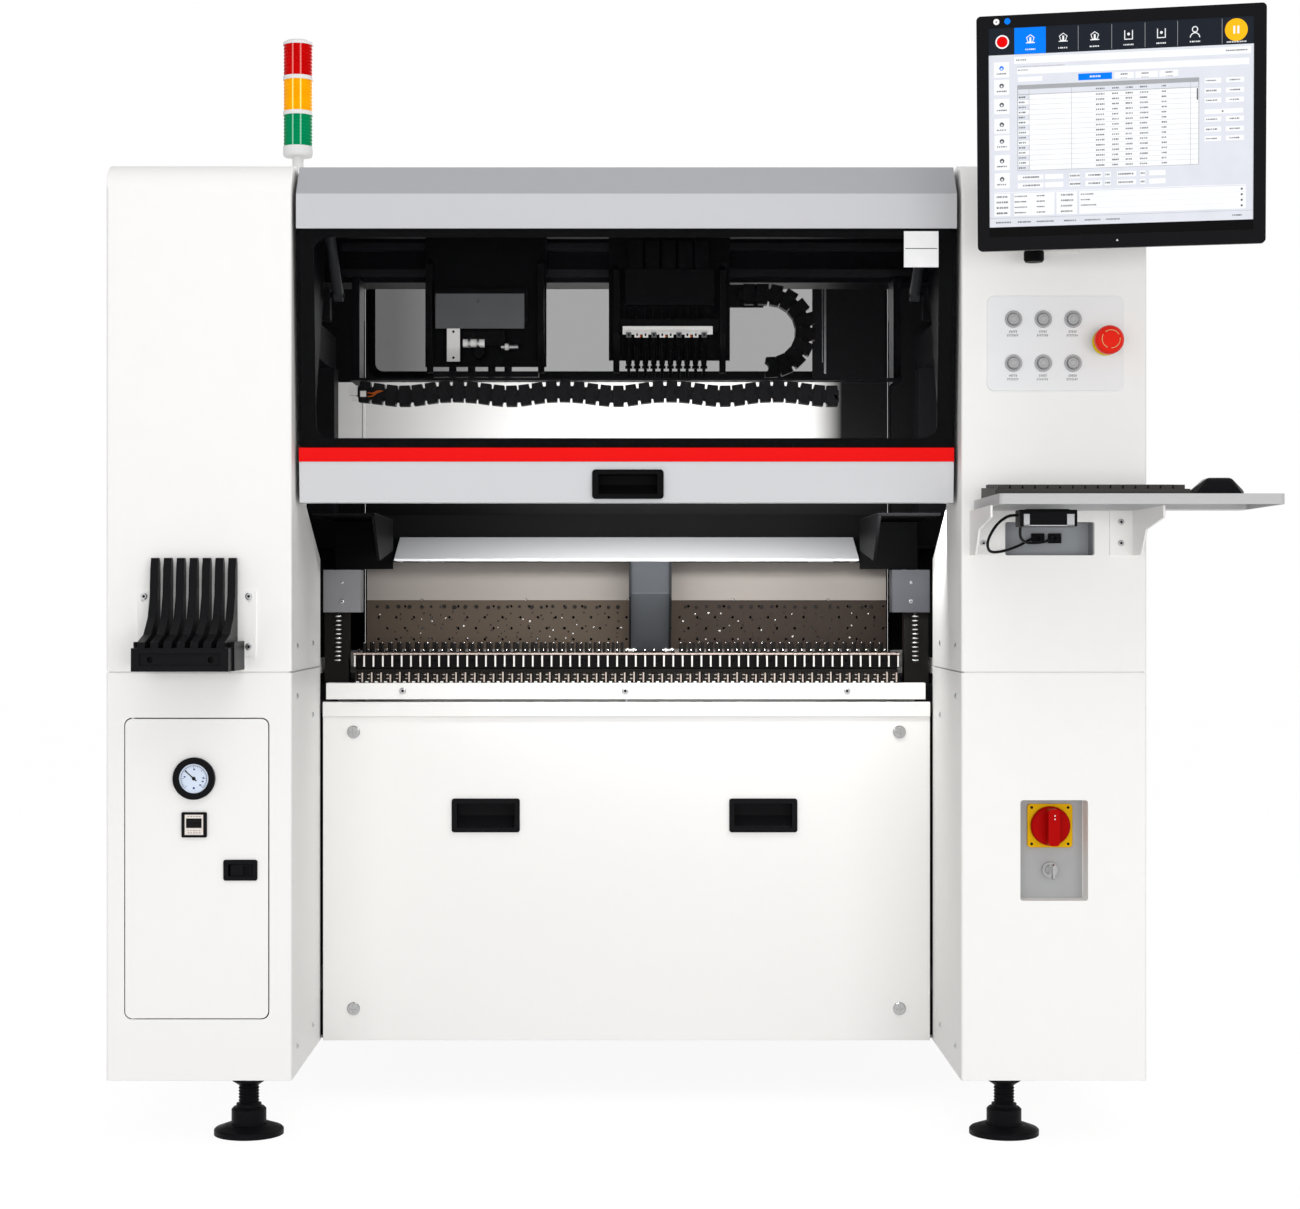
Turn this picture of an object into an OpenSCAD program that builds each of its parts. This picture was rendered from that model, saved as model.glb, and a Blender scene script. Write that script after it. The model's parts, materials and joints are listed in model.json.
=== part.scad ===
/* [Casing] */
// Width over the two side towers
machine_w = 1470; // [1300:1:1700]
// Depth from the towers' front to the rear cover
machine_d = 960; // [900:1:1100]
// Height of the casing's top above the floor
machine_h = 1390; // [1370:1:1450]
// Height of the casing's bottom above the floor
floor_gap = 91; // [80:1:120]
// Height of the joint between lower and upper covers
seam_z = 668; // [650:1:690]
// Width of each side tower
tower_w = 262; // [250:1:300]
// Sheet thickness of the covers
cover_t = 3; // [2:0.5:4]
// Radius of the towers' front top edge
tower_r = 45; // [20:1:60]
// Bend radius of the covers' upright edges
bend_r = 4; // [3:0.5:8]
// Gap between neighbouring covers
cover_gap = 2; // [1:0.5:3]

/* [Hood] */
// Angle that the hood opens to
hood_open = 60; // [40:1:60]
// Height of the hood's hinge axis above the top cover
hinge_up = 2; // [1:0.5:4]
// Radius of the hinge knuckles
knuckle_r = 6; // [5:0.5:8]
// Depth of the hinge axis behind the towers' front
hinge_depth = 308; // [290:1:320]
// Height of the hood's lower edge
hood_z = 909; // [900:1:920]
// Height of the window's lower edge
window_z = 987; // [980:1:1000]
// Depth of the window's upper edge below the casing's top
window_drop = 96; // [90:1:110]
// Height of the window's upper edge
window_top = machine_h - window_drop;
// Height of the red stripe under the window
stripe_h = 20; // [10:1:25]
// How far the window leans back at the hood's lower edge
hood_lean = 38; // [20:1:45]
// Depth of the sloping facet along the hood's top
facet_d = 38; // [25:1:50]
// Height of the sloping facet along the hood's top
facet_h = 44; // [30:1:55]

/* [Gas struts] */
// Outer radius of the strut tube
strut_r = 8; // [7:0.5:10]
// Radius of the strut rod
strut_rod_r = 4; // [3:0.5:5]
// Distance of each strut from the middle
strut_x = 444; // [440:1:446]

/* [Gantry] */
// Pitch between nozzles
nozzle_pitch = 13.2; // [12.5:0.1:14]
// Radius of a nozzle shaft
nozzle_r = 2.5; // [2:0.1:3]
// Depth of the cross beam's underside below the casing's top
beam_drop = 112; // [100:1:120]
// Underside of the cross beam
beam_z = machine_h - beam_drop;
// Height of the cross beam
beam_h = 70; // [60:1:80]
// Depth of the cross beam
beam_d = 80; // [70:1:90]
// Middle of the left head
left_head_x = -223; // [-240:1:-210]
// Middle of the right head
right_head_x = 68; // [60:1:80]
// Width of each head
head_w = 192; // [190:1:200]

/* [Feeder bank] */
// Pitch of the feeder slots
feeder_pitch = 14.5; // [12:0.1:18]
// Number of feeder slots
feeder_count = 58; // [50:1:60]
// Height of the feeder comb's top edge
comb_z = 690; // [685:1:695]

/* [Conveyor] */
// Board width between the rails at rest
board_w = 200; // [120:1:230]
// Height of the board line above the floor
board_z = 905; // [895:1:915]

/* [Controls] */
// Diameter of a push button
button_d = 17; // [15:1:18]
// Travel of a push button
button_travel = 3; // [2:0.5:4]
// Diameter of the emergency stop's cap
estop_d = 40; // [36:1:42]
// Diameter of the isolator's knob
isolator_d = 56; // [50:1:58]

/* [Hidden] */
$fn = 48;

front = -machine_d / 2;
back = machine_d / 2;
half_w = machine_w / 2;
inner_x = half_w - tower_w;      // inner faces of the towers
seam_half = cover_gap / 2;
touch = 0.3;                     // clearance between parts that move past each other
run = 0.05;                      // running clearance of pins and guides
panel_y = front + 312;           // face of the recessed front panel
side_end = front + 317;          // rear edge of the towers' inner faces
side_low = 833;                  // top of the towers' full-depth inner face
side_top = hood_z - 2;           // height where that face clears the hood
side_short = front + 158;        // depth of the inner face beside the hood
plate_y = front + 540;           // face of the plate behind the feeders
rail_front_y = plate_y + 40;     // middle of the fixed conveyor rail

// ---------------------------------------------------------------- helpers
module block(x, y, z) {
    translate([x[0], y[0], z[0]]) cube([x[1] - x[0], y[1] - y[0], z[1] - z[0]]);
}
module both_sides() { children(); mirror([1, 0, 0]) children(); }
// Extrudes a (Y, Z) profile along X, a (X, Z) profile along Y
module along_x(x0, x1) { translate([x0, 0, 0]) rotate([90, 0, 90]) linear_extrude(x1 - x0) children(); }
module along_y(y0, y1) { translate([0, y1, 0]) rotate([90, 0, 0]) linear_extrude(y1 - y0) children(); }
// Cylinders along X and Y that start at the given place
module rod_x(p, r, l) { translate(p) rotate([0, 90, 0]) cylinder(r = r, h = l); }
module rod_y(p, r, l) { translate(p) rotate([-90, 0, 0]) cylinder(r = r, h = l); }
module rounded(x, y, r) {
    translate([x[0] + r, y[0]]) square([x[1] - x[0] - 2 * r, y[1] - y[0]]);
    translate([x[0], y[0] + r]) square([x[1] - x[0], y[1] - y[0] - 2 * r]);
    for (i = [x[0] + r, x[1] - r], j = [y[0] + r, y[1] - r]) translate([i, j]) circle(r);
}

// ---------------------------------------------------------------- frame and feet
tube = 60;                       // square tube of the base
frame_x = 545;                   // middle of each side tube, over the feet
foot_y = 405;                    // feet in front of and behind the middle
deck_z = 640;                    // top of the machine bed
frame_top = 154;                 // top of the base tubes
deck_t = 25;
rail_seat = beam_z - 98;         // top of the posts
post_front = front + 240;
post_rear = back - 90;
module post(y) {
    block([frame_x - tube / 2, frame_x + tube / 2], [y - tube / 2, y + tube / 2], [frame_top, rail_seat]);
}
module base_frame() color("dimgray") {
    low = floor_gap + cover_t;
    both_sides() {
        block([frame_x - tube / 2, frame_x + tube / 2], [front + 40, back - 40], [low, frame_top]);
        post(post_front);
        post(post_rear);
        block([frame_x - tube / 2, frame_x + tube / 2],
            [post_front + tube / 2, post_rear - tube / 2], [deck_z - tube, deck_z]);
    }
    for (y = [panel_y + 30, post_rear - tube / 2])
        block([-frame_x + tube / 2, frame_x - tube / 2], [y, y + tube], [low, frame_top]);
    difference() {
        block([-frame_x + tube / 2, frame_x - tube / 2], [panel_y + 30, post_rear + tube / 2],
            [deck_z - deck_t, deck_z]);
        for (x = [-200, 200]) translate([x, plate_y + 120, deck_z - deck_t - 1]) cylinder(r = 60, h = deck_t + 2);
    }
}
pad_r = 50;
stem_r = 15;
module foot(x, y) translate([x, y, 0]) {
    rotate_extrude() polygon([[0, 0], [pad_r, 0], [pad_r, 7], [pad_r - 2, 9], [34, 14], [27, 15],
        [27, 17], [25, 17], [25, 36], [22, 39], [stem_r + 3, 39], [stem_r + 3, 44], [stem_r, 44],
        for (k = [0:5]) each [[stem_r, 44 + k * 4.5], [stem_r - 1.6, 46.2 + k * 4.5]],
        [stem_r, 71], [18, 73], [24, 77], [24, floor_gap], [0, floor_gap]]);
}
module levelling_feet() color("#232426")
    for (x = [-frame_x, frame_x], y = [-foot_y, foot_y]) foot(x, y);

// ---------------------------------------------------------------- side towers
// Side profile of a tower, inset by t, between two heights
module tower_side(t, z0, z1, r) {
    rr = max(r - t, 0.5);
    y0 = front + t;
    y1 = back - t;
    zt = z1 - t;
    translate([y0, z0]) square([y1 - y0, zt - rr - z0]);
    translate([y0 + rr, z0]) square([y1 - y0 - rr, zt - z0]);
    translate([y0 + rr, zt - rr]) circle(rr);
}
// Plan of the right tower, inset by t
module tower_plan(t) rounded([inner_x + t, half_w - t], [front + t, back - t], bend_r);
module tower_shell(z0, z1, r, cap) {
    difference() {
        intersection() {
            along_x(inner_x, half_w) tower_side(0, z0, z1, r);
            translate([0, 0, z0]) linear_extrude(z1 - z0) tower_plan(0);
        }
        intersection() {
            along_x(inner_x, half_w) tower_side(cover_t, z0 - 1, cap ? z1 : z1 + 2 * cover_t, r);
            translate([0, 0, z0 - 1]) linear_extrude(z1 - z0 + 2) tower_plan(cover_t);
        }
    }
}
lip_t = 2;
lip_h = 12;
// Lip of a lower cover that the upper cover stands over
module seam_lip() difference() {
    union() {
        translate([0, 0, seam_z - lip_h]) linear_extrude(lip_h - seam_half) tower_plan(cover_t - 0.5);
        translate([0, 0, seam_z - lip_h]) linear_extrude(2 * lip_h) tower_plan(cover_t + touch);
    }
    translate([0, 0, seam_z - lip_h - 1]) linear_extrude(2 * lip_h + 2) tower_plan(cover_t + touch + lip_t);
}
module lower_shell() {
    seam_lip();
    difference() {
        union() {
            tower_shell(floor_gap, seam_z - seam_half, 0.5, false);
            block([inner_x + 1, half_w - 1], [front + 5, back - 5], [floor_gap, floor_gap + cover_t]);
        }
        block([inner_x - 1, inner_x + cover_t + 1], [side_end, back - cover_t], [floor_gap + cover_t, seam_z]);
        for (y = [-foot_y, foot_y]) translate([frame_x, y, floor_gap - 1]) cylinder(r = 8, h = 9);
    }
}
belt_gap = [rail_front_y - 40, rail_front_y + 245];   // board opening in the outer side, in Y
module upper_shell() {
    z0 = seam_z + seam_half;
    difference() {
        tower_shell(z0, machine_h, tower_r, true);
        along_x(inner_x - 1, inner_x + cover_t + 1) polygon([[side_end, z0 - 1], [side_end, side_low],
            [side_short, side_top], [side_short, machine_h - cover_t], [back - cover_t, machine_h - cover_t],
            [back - cover_t, z0 - 1]]);
        block([half_w - 10, half_w + 1], belt_gap, [board_z - 60, board_z + 80]);
    }
}

// Door in the lower left cover
door_x = [-708, -506];
door_z = [179, 602];
door_gap = 1.5;
pivot_x = door_x[0] + 10;
pivot_y = front + 5;
pin_r = 2.5;
module left_lower_cover() color("#f4f3f1") {
    difference() {
        union() {
            mirror([1, 0, 0]) lower_shell();
            for (z = [door_z[0] - door_gap - 8, door_z[1] + door_gap])
                block([door_x[0] - 1, door_x[0] + 22], [front + cover_t - 1, front + 18], [z, z + 8]);
            block([-half_w + 2, -inner_x - 2], [front + 178, front + 180], [frame_top, seam_z - 4]);
            block([-half_w + 2, -inner_x - 2], [front + 2, front + 180], [frame_top, frame_top + 2]);
        }
        along_y(front - 1, front + cover_t + 1)
            rounded([door_x[0] - door_gap, door_x[1] + door_gap],
                [door_z[0] - door_gap, door_z[1] + door_gap], 11);
        translate([pivot_x, pivot_y, door_z[0] - door_gap - 9])
            cylinder(r = pin_r + run, h = door_z[1] - door_z[0] + 20);
    }
}
recess_x = [556.5, 652];
recess_z = [345, 487];
recess_d = 38;
plate_x = 604;
plate_z = 448;
lock_z = 385;
module right_lower_cover() color("#f4f3f1") {
    difference() {
        union() {
            lower_shell();
            along_y(front + 1, front + recess_d + cover_t)
                rounded([recess_x[0] - cover_t, recess_x[1] + cover_t], [recess_z[0] - cover_t, recess_z[1] + cover_t], 7);
        }
        along_y(front - 1, front + recess_d) rounded(recess_x, recess_z, 4);
        rod_y([plate_x, front + recess_d - 1, plate_z], 8, 12);
        rod_y([plate_x, front + recess_d - 1, lock_z], 9.5, 12);
    }
}
module left_upper_cover() color("#f4f3f1") mirror([1, 0, 0]) upper_shell();
shelf_hole_x = [535, 661];
shelf_hole_z = [833, 880];
panel_x = [509, 702];
panel_z = [machine_h - 325, machine_h - 191];
module right_upper_cover() color("#f4f3f1") difference() {
    union() {
        upper_shell();
        along_y(front + 1, front + 45 + cover_t) rounded([shelf_hole_x[0] - cover_t, shelf_hole_x[1] + cover_t],
            [shelf_hole_z[0] - cover_t, shelf_hole_z[1] + cover_t], 5);
    }
    along_y(front - 1, front + 45) rounded(shelf_hole_x, shelf_hole_z, 3);
    along_y(front - 1, front + cover_t + 1) rounded([panel_x[0] + 8, panel_x[1] - 8], [panel_z[0] + 8, panel_z[1] - 8], 6);
}

// ---------------------------------------------------------------- rear and top
hinge_y = front + hinge_depth;
hinge_z = machine_h + hinge_up;
knuckle_step = 60;
window_x = 455;
rear_win_z = [machine_h - 205, machine_h - 35];
module rear_cover() color("#efeeec") {
    w = inner_x - touch;
    difference() {
        union() {
            block([-w, w], [hinge_y + 8, back], [machine_h - cover_t, machine_h]);
            block([-w, w], [back - cover_t, back], [seam_z + seam_half, machine_h - 1]);
            block([-w, w], [hinge_y + 8, hinge_y + 10], [machine_h - 20, machine_h - 1]);
            block([-w, w], [back - 20, back], [seam_z + seam_half, seam_z + seam_half + 2]);
        }
        along_y(back - 10, back + 1) rounded([-window_x, window_x], rear_win_z, 15);
    }
    // fixed hinge leaf and every second knuckle
    block([-w + 20, w - 20], [hinge_y + knuckle_r + 1, hinge_y + 40], [machine_h, machine_h + 2]);
    difference() {
        for (x = [-w + 20 : 2 * knuckle_step : w - 20 - knuckle_step]) {
            rod_x([x, hinge_y, hinge_z], knuckle_r, knuckle_step - 1);
            block([x, x + knuckle_step - 1], [hinge_y, hinge_y + knuckle_r + 2], [machine_h, machine_h + 2]);
        }
        rod_x([-w, hinge_y, hinge_z], 2.5 + run, 2 * w);
    }
    rod_x([-w + 20, hinge_y, hinge_z], 2.5, 2 * w - 40);
}
module rear_window() color("#30343a", 0.5)
    along_y(back - cover_t - 4, back - cover_t)
        rounded([-window_x - 12, window_x + 12], [rear_win_z[0] - 12, rear_win_z[1] + 12], 20);
module rear_lower_panels() color("#efeeec") {
    w = inner_x - touch;
    both_sides() difference() {
        union() {
            block([1, w], [back - cover_t, back], [floor_gap, seam_z - seam_half]);
            block([1, 3], [back - 18, back], [floor_gap, seam_z - seam_half]);
            block([w - 2, w], [back - 18, back], [floor_gap, seam_z - seam_half]);
        }
        for (x = [60 : 100 : 360], k = [0 : 9])
            along_y(back - 5, back + 1)
                rounded([x, x + 70], [430 + k * 16, 434 + k * 16], 1.9);
    }
}

// ---------------------------------------------------------------- recessed front
panel_top = 613;
panel_half = inner_x - 5;
panel_rim = 30 - touch;          // folded rim, back to the frame's cross tube
pull_x = [-217, 211];
pull_z = 438;
module front_panel() color("#f3f2f0") {
    difference() {
        union() {
            block([-panel_half, panel_half], [panel_y, panel_y + cover_t], [floor_gap, panel_top - 23]);
            along_x(-panel_half, panel_half) polygon([[panel_y, panel_top - 24], [panel_y - 4, panel_top - 22],
                [panel_y - 4, panel_top - 2], [panel_y - 2, panel_top], [panel_y + 20, panel_top],
                [panel_y + 20, panel_top - 3], [panel_y + 3, panel_top - 3], [panel_y + 3, panel_top - 24]]);
            both_sides() block([panel_half - 3, panel_half], [panel_y, panel_y + panel_rim], [floor_gap, panel_top - 3]);
            block([-panel_half, panel_half], [panel_y, panel_y + panel_rim], [floor_gap, floor_gap + 3]);
        }
        for (x = pull_x) along_y(panel_y - 1, panel_y + 5) rounded([x - 49, x + 49], [pull_z - 23, pull_z + 23], 3);
        for (x = [-421, 421], z = [140, 566.5]) rod_y([x, panel_y - 1, z], 8.5, 6);
    }
    block([-463, 461], [panel_y - 2, panel_y + 4], [panel_top + 4, 642]);
    block([-463, 461], [panel_y + 4, panel_y + 30], [639, 642]);
}
// Recessed pull: flange, sloping cup and grip lip
module pull(x, z, w, h, y) {
    difference() {
        union() {
            along_y(y - 3, y) rounded([x - w / 2, x + w / 2], [z - h / 2, z + h / 2], 4);
            along_y(y, y + 24) rounded([x - w / 2 + 4, x + w / 2 - 4], [z - h / 2 + 4, z + h / 2 - 4], 3);
        }
        along_x(x - w / 2 + 8, x + w / 2 - 8) polygon([[y - 4, z + h / 2 - 8], [y - 4, z - h / 2 + 7],
            [y + 6, z - h / 2 + 7], [y + 21, z - 2], [y + 21, z + h / 2 - 7], [y + 2, z + h / 2 - 7]]);
    }
}
module panel_pulls() color("#17181a") for (x = pull_x) pull(x, pull_z, 105, 52, panel_y);
module panel_locks() color("silver") for (x = [-421, 421], z = [140, 566.5]) translate([x, panel_y, z])
    rotate([90, 0, 0]) difference() {
        union() {
            rotate_extrude() polygon([[0, -14], [6, -14], [6, -4], [8.5 - run, -4], [8.5 - run, 0], [10, 0],
                [10, 1.5], [8.5, 3], [0, 3]]);
        }
        translate([-6, -1, 1.5]) cube([12, 2, 3]);
        translate([-1, -6, 1.5]) cube([2, 12, 3]);
    }

// ---------------------------------------------------------------- feeder bank
comb_y = front + 330;
bank_half = feeder_pitch * feeder_count / 2;
strip_top = 642;
module feeder_comb() color("#d9d6d0") {
    difference() {
        union() {
            block([-bank_half, bank_half], [comb_y + 2, comb_y + 12], [comb_z - 26, comb_z - 2]);
            for (i = [0 : feeder_count])
                block([-bank_half + i * feeder_pitch - 2.2, -bank_half + i * feeder_pitch + 2.2],
                    [comb_y - 6, comb_y + 2], [comb_z - 24, comb_z]);
        }
        for (i = [0 : 4 : feeder_count - 1])
            rod_y([-bank_half + (i + 0.5) * feeder_pitch, comb_y, comb_z - 14], 2, 14);
    }
}
module feeder_rail() color("#8f877e") {
    // slotted bed that the feeders slide along
    difference() {
        along_x(-bank_half, bank_half) polygon([[panel_y + 30 + touch, deck_z], [panel_y + 30 + touch, strip_top],
            [comb_y - 4, strip_top], [comb_y - 4, comb_z - 27],
            [comb_y + 12, comb_z - 27], [comb_y + 12, comb_z - 4], [comb_y + 205, comb_z - 4],
            [comb_y + 205, deck_z]]);
        for (i = [0 : feeder_count - 1])
            block([-bank_half + i * feeder_pitch + 3, -bank_half + (i + 1) * feeder_pitch - 3],
                [comb_y + 16, comb_y + 206], [comb_z - 10, comb_z]);
    }
    // end blocks
    both_sides() block([412, 470], [comb_y, comb_y + 40], [751, 817]);
    both_sides() block([432, 470], [comb_y + 14, comb_y + 40], [deck_z, 751]);
}
plate_half = 425;
module back_plate() color("#a59b93") difference() {
    union() {
        block([-plate_half, plate_half], [plate_y, plate_y + 4], [deck_z, 832]);
        block([-plate_half, plate_half], [plate_y - 3, plate_y], [comb_z + 1, 770]);
    }
    for (k = [0 : 3], i = [0 : 28])
        rod_y([-406 + i * 29 + (k % 2) * 14.5, plate_y - 4, 706 + k * 18], 2.2, 9);
}
module deflector_cover() color("#c9cacc") {
    w = 368;
    along_x(-w, w) polygon([[plate_y + 2, 873], [plate_y - 100, 836], [plate_y - 100, 832], [plate_y - 98, 832],
        [plate_y - 96, 834], [plate_y + 2, 869.5], [plate_y + 26, 869.5], [plate_y + 26, 873]]);
    both_sides() along_x(w, w + 3) polygon([[plate_y + 26, 873], [plate_y + 2, 873], [plate_y - 100, 836],
        [plate_y - 100, 832.5], [plate_y + 26, 832.5]]);
    // feet down to the bed behind the back plate
    both_sides() block([300, 340], [plate_y + 22, plate_y + 26], [deck_z, 870]);
}
module waste_chute() color("#4a4d52") {
    x = 38;
    along_x(x - 31, x + 31) polygon([[plate_y - 96, 831.5], [plate_y - 4, 770], [plate_y - 4, comb_z - 4 + touch],
        [plate_y - 8, comb_z - 4 + touch], [plate_y - 100, 780], [plate_y - 100, 831.5]]);
    for (s = [-1, 1]) along_x(x + s * 32.5 - 1.5, x + s * 32.5 + 1.5)
        polygon([[plate_y - 106, 831.5], [plate_y - 4, 831.5], [plate_y - 4, comb_z - 4 + touch],
            [plate_y - 14, comb_z - 4 + touch], [plate_y - 106, 775]]);
}
module side_shields() color("#1b1c1e") both_sides() {
    along_x(376, inner_x - 4) polygon([[side_short + 30, 900], [plate_y - 60, 900], [plate_y - 60, 896],
        [side_short + 34, 896]]);
    along_x(376, 380) polygon([[side_short + 30, 896], [plate_y - 60, 896], [plate_y - 60, 850],
        [side_short + 110, 830]]);
    block([376, inner_x - 4], [plate_y - 64, plate_y - 60], [820, 896]);
    block([452, 456], [plate_y - 60, plate_y + 4], [deck_z, 896]);
}

// ---------------------------------------------------------------- conveyor
rail_t = 18;
conveyor_half = half_w - 12;
shaft_r = 8;
shaft_z = 780;
module conveyor_rail(y, side) {
    // side +1 has the belt ledge towards the rear
    difference() {
        block([-conveyor_half, conveyor_half], [y - rail_t / 2, y + rail_t / 2], [board_z - 45, board_z + 6]);
        block([-conveyor_half - 1, conveyor_half + 1],
            side > 0 ? [y + 2, y + 10] : [y - 10, y - 2], [board_z - 6, board_z + 7]);
    }
    for (x = [-conveyor_half + 20, conveyor_half - 20])
        rod_y([x, side > 0 ? y + rail_t / 2 : y - rail_t / 2 - 6, board_z - 20], 11, 6);
}
rail_rear_y = rail_front_y + board_w + 4;
shaft_x = 380;
shaft_end = back - 50;
module conveyor_front_rail() color("#b9bcc0") {
    conveyor_rail(rail_front_y, 1);
    both_sides() {
        difference() {
            block([shaft_x - 25, shaft_x + 25], [rail_front_y - 9, rail_front_y + 9], [deck_z, board_z - 45]);
            rod_y([shaft_x, rail_front_y - 10, shaft_z], shaft_r + run, 20);
        }
        difference() {
            block([shaft_x - 25, shaft_x + 25], [shaft_end - 20, shaft_end - 4], [deck_z, shaft_z + 30]);
            rod_y([shaft_x, shaft_end - 21, shaft_z], shaft_r + run, 20);
        }
        rod_y([shaft_x, rail_front_y - 9, shaft_z], shaft_r, shaft_end - rail_front_y + 5);
    }
}
module conveyor_rear_rail() color("#b9bcc0") {
    conveyor_rail(rail_rear_y, -1);
    both_sides() difference() {
        block([shaft_x - 20, shaft_x + 20], [rail_rear_y - 25, rail_rear_y + 25], [shaft_z - 22, board_z - 45]);
        rod_y([shaft_x, rail_rear_y - 26, shaft_z], shaft_r + run, 52);
    }
}

// ---------------------------------------------------------------- gantry
beam_y = front + 450;
rail_x = 560;
strut_low = [hinge_y + 2, machine_h - 150];
strut_up = [hinge_y - 150, machine_h - 45];
rails_y = [front + 190, back - 50];
guide_z = beam_z - 38;           // underside of the linear guides
module y_rails() color("#3a3c40") both_sides() {
    block([520, 600], rails_y, [rail_seat, guide_z]);
    difference() {
        block([rail_x - 10, rail_x + 10], rails_y, [guide_z, guide_z + 16]);
        for (x = [rail_x - 11, rail_x + 7])
            block([x, x + 4], [rails_y[0] - 1, rails_y[1] + 1], [guide_z + 5, guide_z + 10]);
    }
    // strut bracket and its pivot pin
    block([strut_x + 12, 520], [strut_low[0] - 12, strut_low[0] + 12], [rail_seat + 20, strut_low[1] + 10]);
    rod_x([strut_x - 9, strut_low[0], strut_low[1]], 4, 25);
}
module x_beam() color("#26282b") {
    difference() {
        block([-600, 600], [beam_y, beam_y + beam_d], [beam_z, beam_z + beam_h]);
        for (x = [-480 : 120 : 480]) along_y(beam_y + 12, beam_y + beam_d + 1)
            rounded([x - 45, x + 45], [beam_z + 12, beam_z + beam_h - 12], 8);
    }
    for (z = [beam_z + 8, beam_z + beam_h - 20])
        block([-455, 455], [beam_y - 12, beam_y], [z, z + 12]);
    both_sides() difference() {
        block([rail_x - 30, rail_x + 30], [beam_y - 5, beam_y + beam_d + 5], [guide_z + 7, beam_z]);
        block([rail_x - 10.5, rail_x + 10.5], [beam_y - 6, beam_y + beam_d + 6], [guide_z + 6, guide_z + 16.5]);
    }
    // chain tray hung from the beam's ends
    both_sides() block([420, 432], [beam_y - 64, beam_y], [tray_low, beam_z]);
    both_sides() block([420, 432], [beam_y - 12, beam_y + 10], [beam_z - 60, beam_z + 6]);
    difference() {
        block([-432, 432], [beam_y - 94, beam_y - 63], [tray_low, tray_low + 4]);
        for (x = [-410 : 20 : 410]) translate([x, beam_y - 72, tray_low - 3]) cylinder(r = 3, h = 10);
    }
}

// Energy chain: links along a path of points and headings in the XZ plane
link_l = 21;
link_h = 32;
link_w = 24;
link_end = link_l / 2 - 1;
module chain_link(p, a, y, in = 2.4, out = 0) translate([p[0], y, p[1]]) rotate([0, -a, 0]) {
    difference() {
        union() {
            along_y(0, link_w) polygon([[link_end, 0], [link_end - out, link_h / 2], [out - link_end, link_h / 2],
                [-link_end, 0], [in - link_end, -link_h / 2], [link_end - in, -link_h / 2]]);
            translate([-link_l / 2, 2, 0]) rotate([-90, 0, 0]) cylinder(r = 7, h = link_w - 4);
        }
        translate([-link_l, 3, -link_h / 2 + 4]) cube([2 * link_l, link_w - 6, link_h - 8]);
        translate([link_l / 2, -1, 0]) rotate([-90, 0, 0]) cylinder(r = 7 + touch, h = link_w + 2);
    }
}
lower_n = 36;
tray_low = beam_z - 165;         // underside of the chain tray
chain_z = tray_low - touch - link_h / 2 - 0.5;
sag = [-5, -8, -6, 1, 8, 8, 3, -1];   // heading of each link in one wave of the run
function run_x(i) = i == 0 ? -420 : run_x(i - 1) + link_l * cos(sag[(i - 1) % 8]);
function run_z(i) = i == 0 ? chain_z : run_z(i - 1) + link_l * sin(sag[(i - 1) % 8]);
module drag_chain() color("#151618")
    for (i = [0 : lower_n - 1])
        chain_link([(run_x(i) + run_x(i + 1)) / 2, (run_z(i) + run_z(i + 1)) / 2],
            sag[i % 8], beam_y - 90, 1.4, 1.4);
loop_r = 58;
loop_x = 225;
loop_z = beam_z - 84;
loop_step = 2 * asin(link_l / (2 * loop_r));
link_mid = loop_r * cos(loop_step / 2);
module head_chain() {
    for (i = [0 : 8]) let (a = 90 - (i + 0.5) * loop_step)
        chain_link([loop_x + link_mid * cos(a), loop_z + link_mid * sin(a)], a - 90, beam_y - 62);
    for (i = [0 : 1]) chain_link([loop_x - (i + 0.5) * link_l, loop_z + loop_r], 0, beam_y - 62);
}

// ---------------------------------------------------------------- heads
head_face = beam_y - 34;         // front of the heads' plates
into = 1;                        // depth that one block of a head enters the next
module carriage(x) {
    block([x - head_w / 2, x + head_w / 2], [beam_y - 28 - into, beam_y - 12.5], [beam_z - 10, beam_z + beam_h + 2]);
    for (s = [-1, 1], z = [beam_z + 8, beam_z + beam_h - 20]) difference() {
        block([x + s * 60 - 22, x + s * 60 + 22], [beam_y - 14, beam_y - 2], [z - 5, z + 17]);
        block([x + s * 60 - 23, x + s * 60 + 23], [beam_y - 12.4, beam_y], [z - 0.4, z + 12.4]);
    }
}
nozzle_x0 = right_head_x - 5 - 4.5 * nozzle_pitch;
nozzle_y = beam_y - 44;
module right_head() color("#1c1d20") {
    x = right_head_x;
    carriage(x);
    block([x - head_w / 2, x + head_w / 2], [head_face, head_face + 6], [beam_z - 128, beam_z + beam_h + 2]);
    block([x - 70, x + 70], [nozzle_y - 14, head_face + into], [beam_z - 42, beam_z + 14]);
    for (i = [0 : 4]) block([x - 64 + i * 26, x - 64 + i * 26 + 22], [nozzle_y - 12, head_face + into],
        [beam_z + 14 - into, beam_z + 60]);
    difference() {
        block([x - 78, x + 78], [nozzle_y - 10, head_face + into], [beam_z - 82, beam_z - 64]);
        for (i = [0 : 9]) translate([nozzle_x0 + i * nozzle_pitch, nozzle_y, beam_z - 88])
            cylinder(r = nozzle_r + run, h = 30);
    }
    for (s = [-1, 1]) along_x(x + s * 84 - 5, x + s * 84 + 5) polygon([[head_face + into, beam_z + 22],
        [head_face, beam_z + 22], [nozzle_y - 16, beam_z + 12], [nozzle_y - 16, beam_z - 88],
        [head_face - 6, beam_z - 148], [head_face, beam_z - 148], [head_face, beam_z - 128],
        [head_face + into, beam_z - 128]]);
    head_chain();
    block([x + 89, loop_x - 8], [beam_y - 38 + touch, beam_y - 30], [loop_z + loop_r - 18, loop_z + loop_r + 18]);
}
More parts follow.
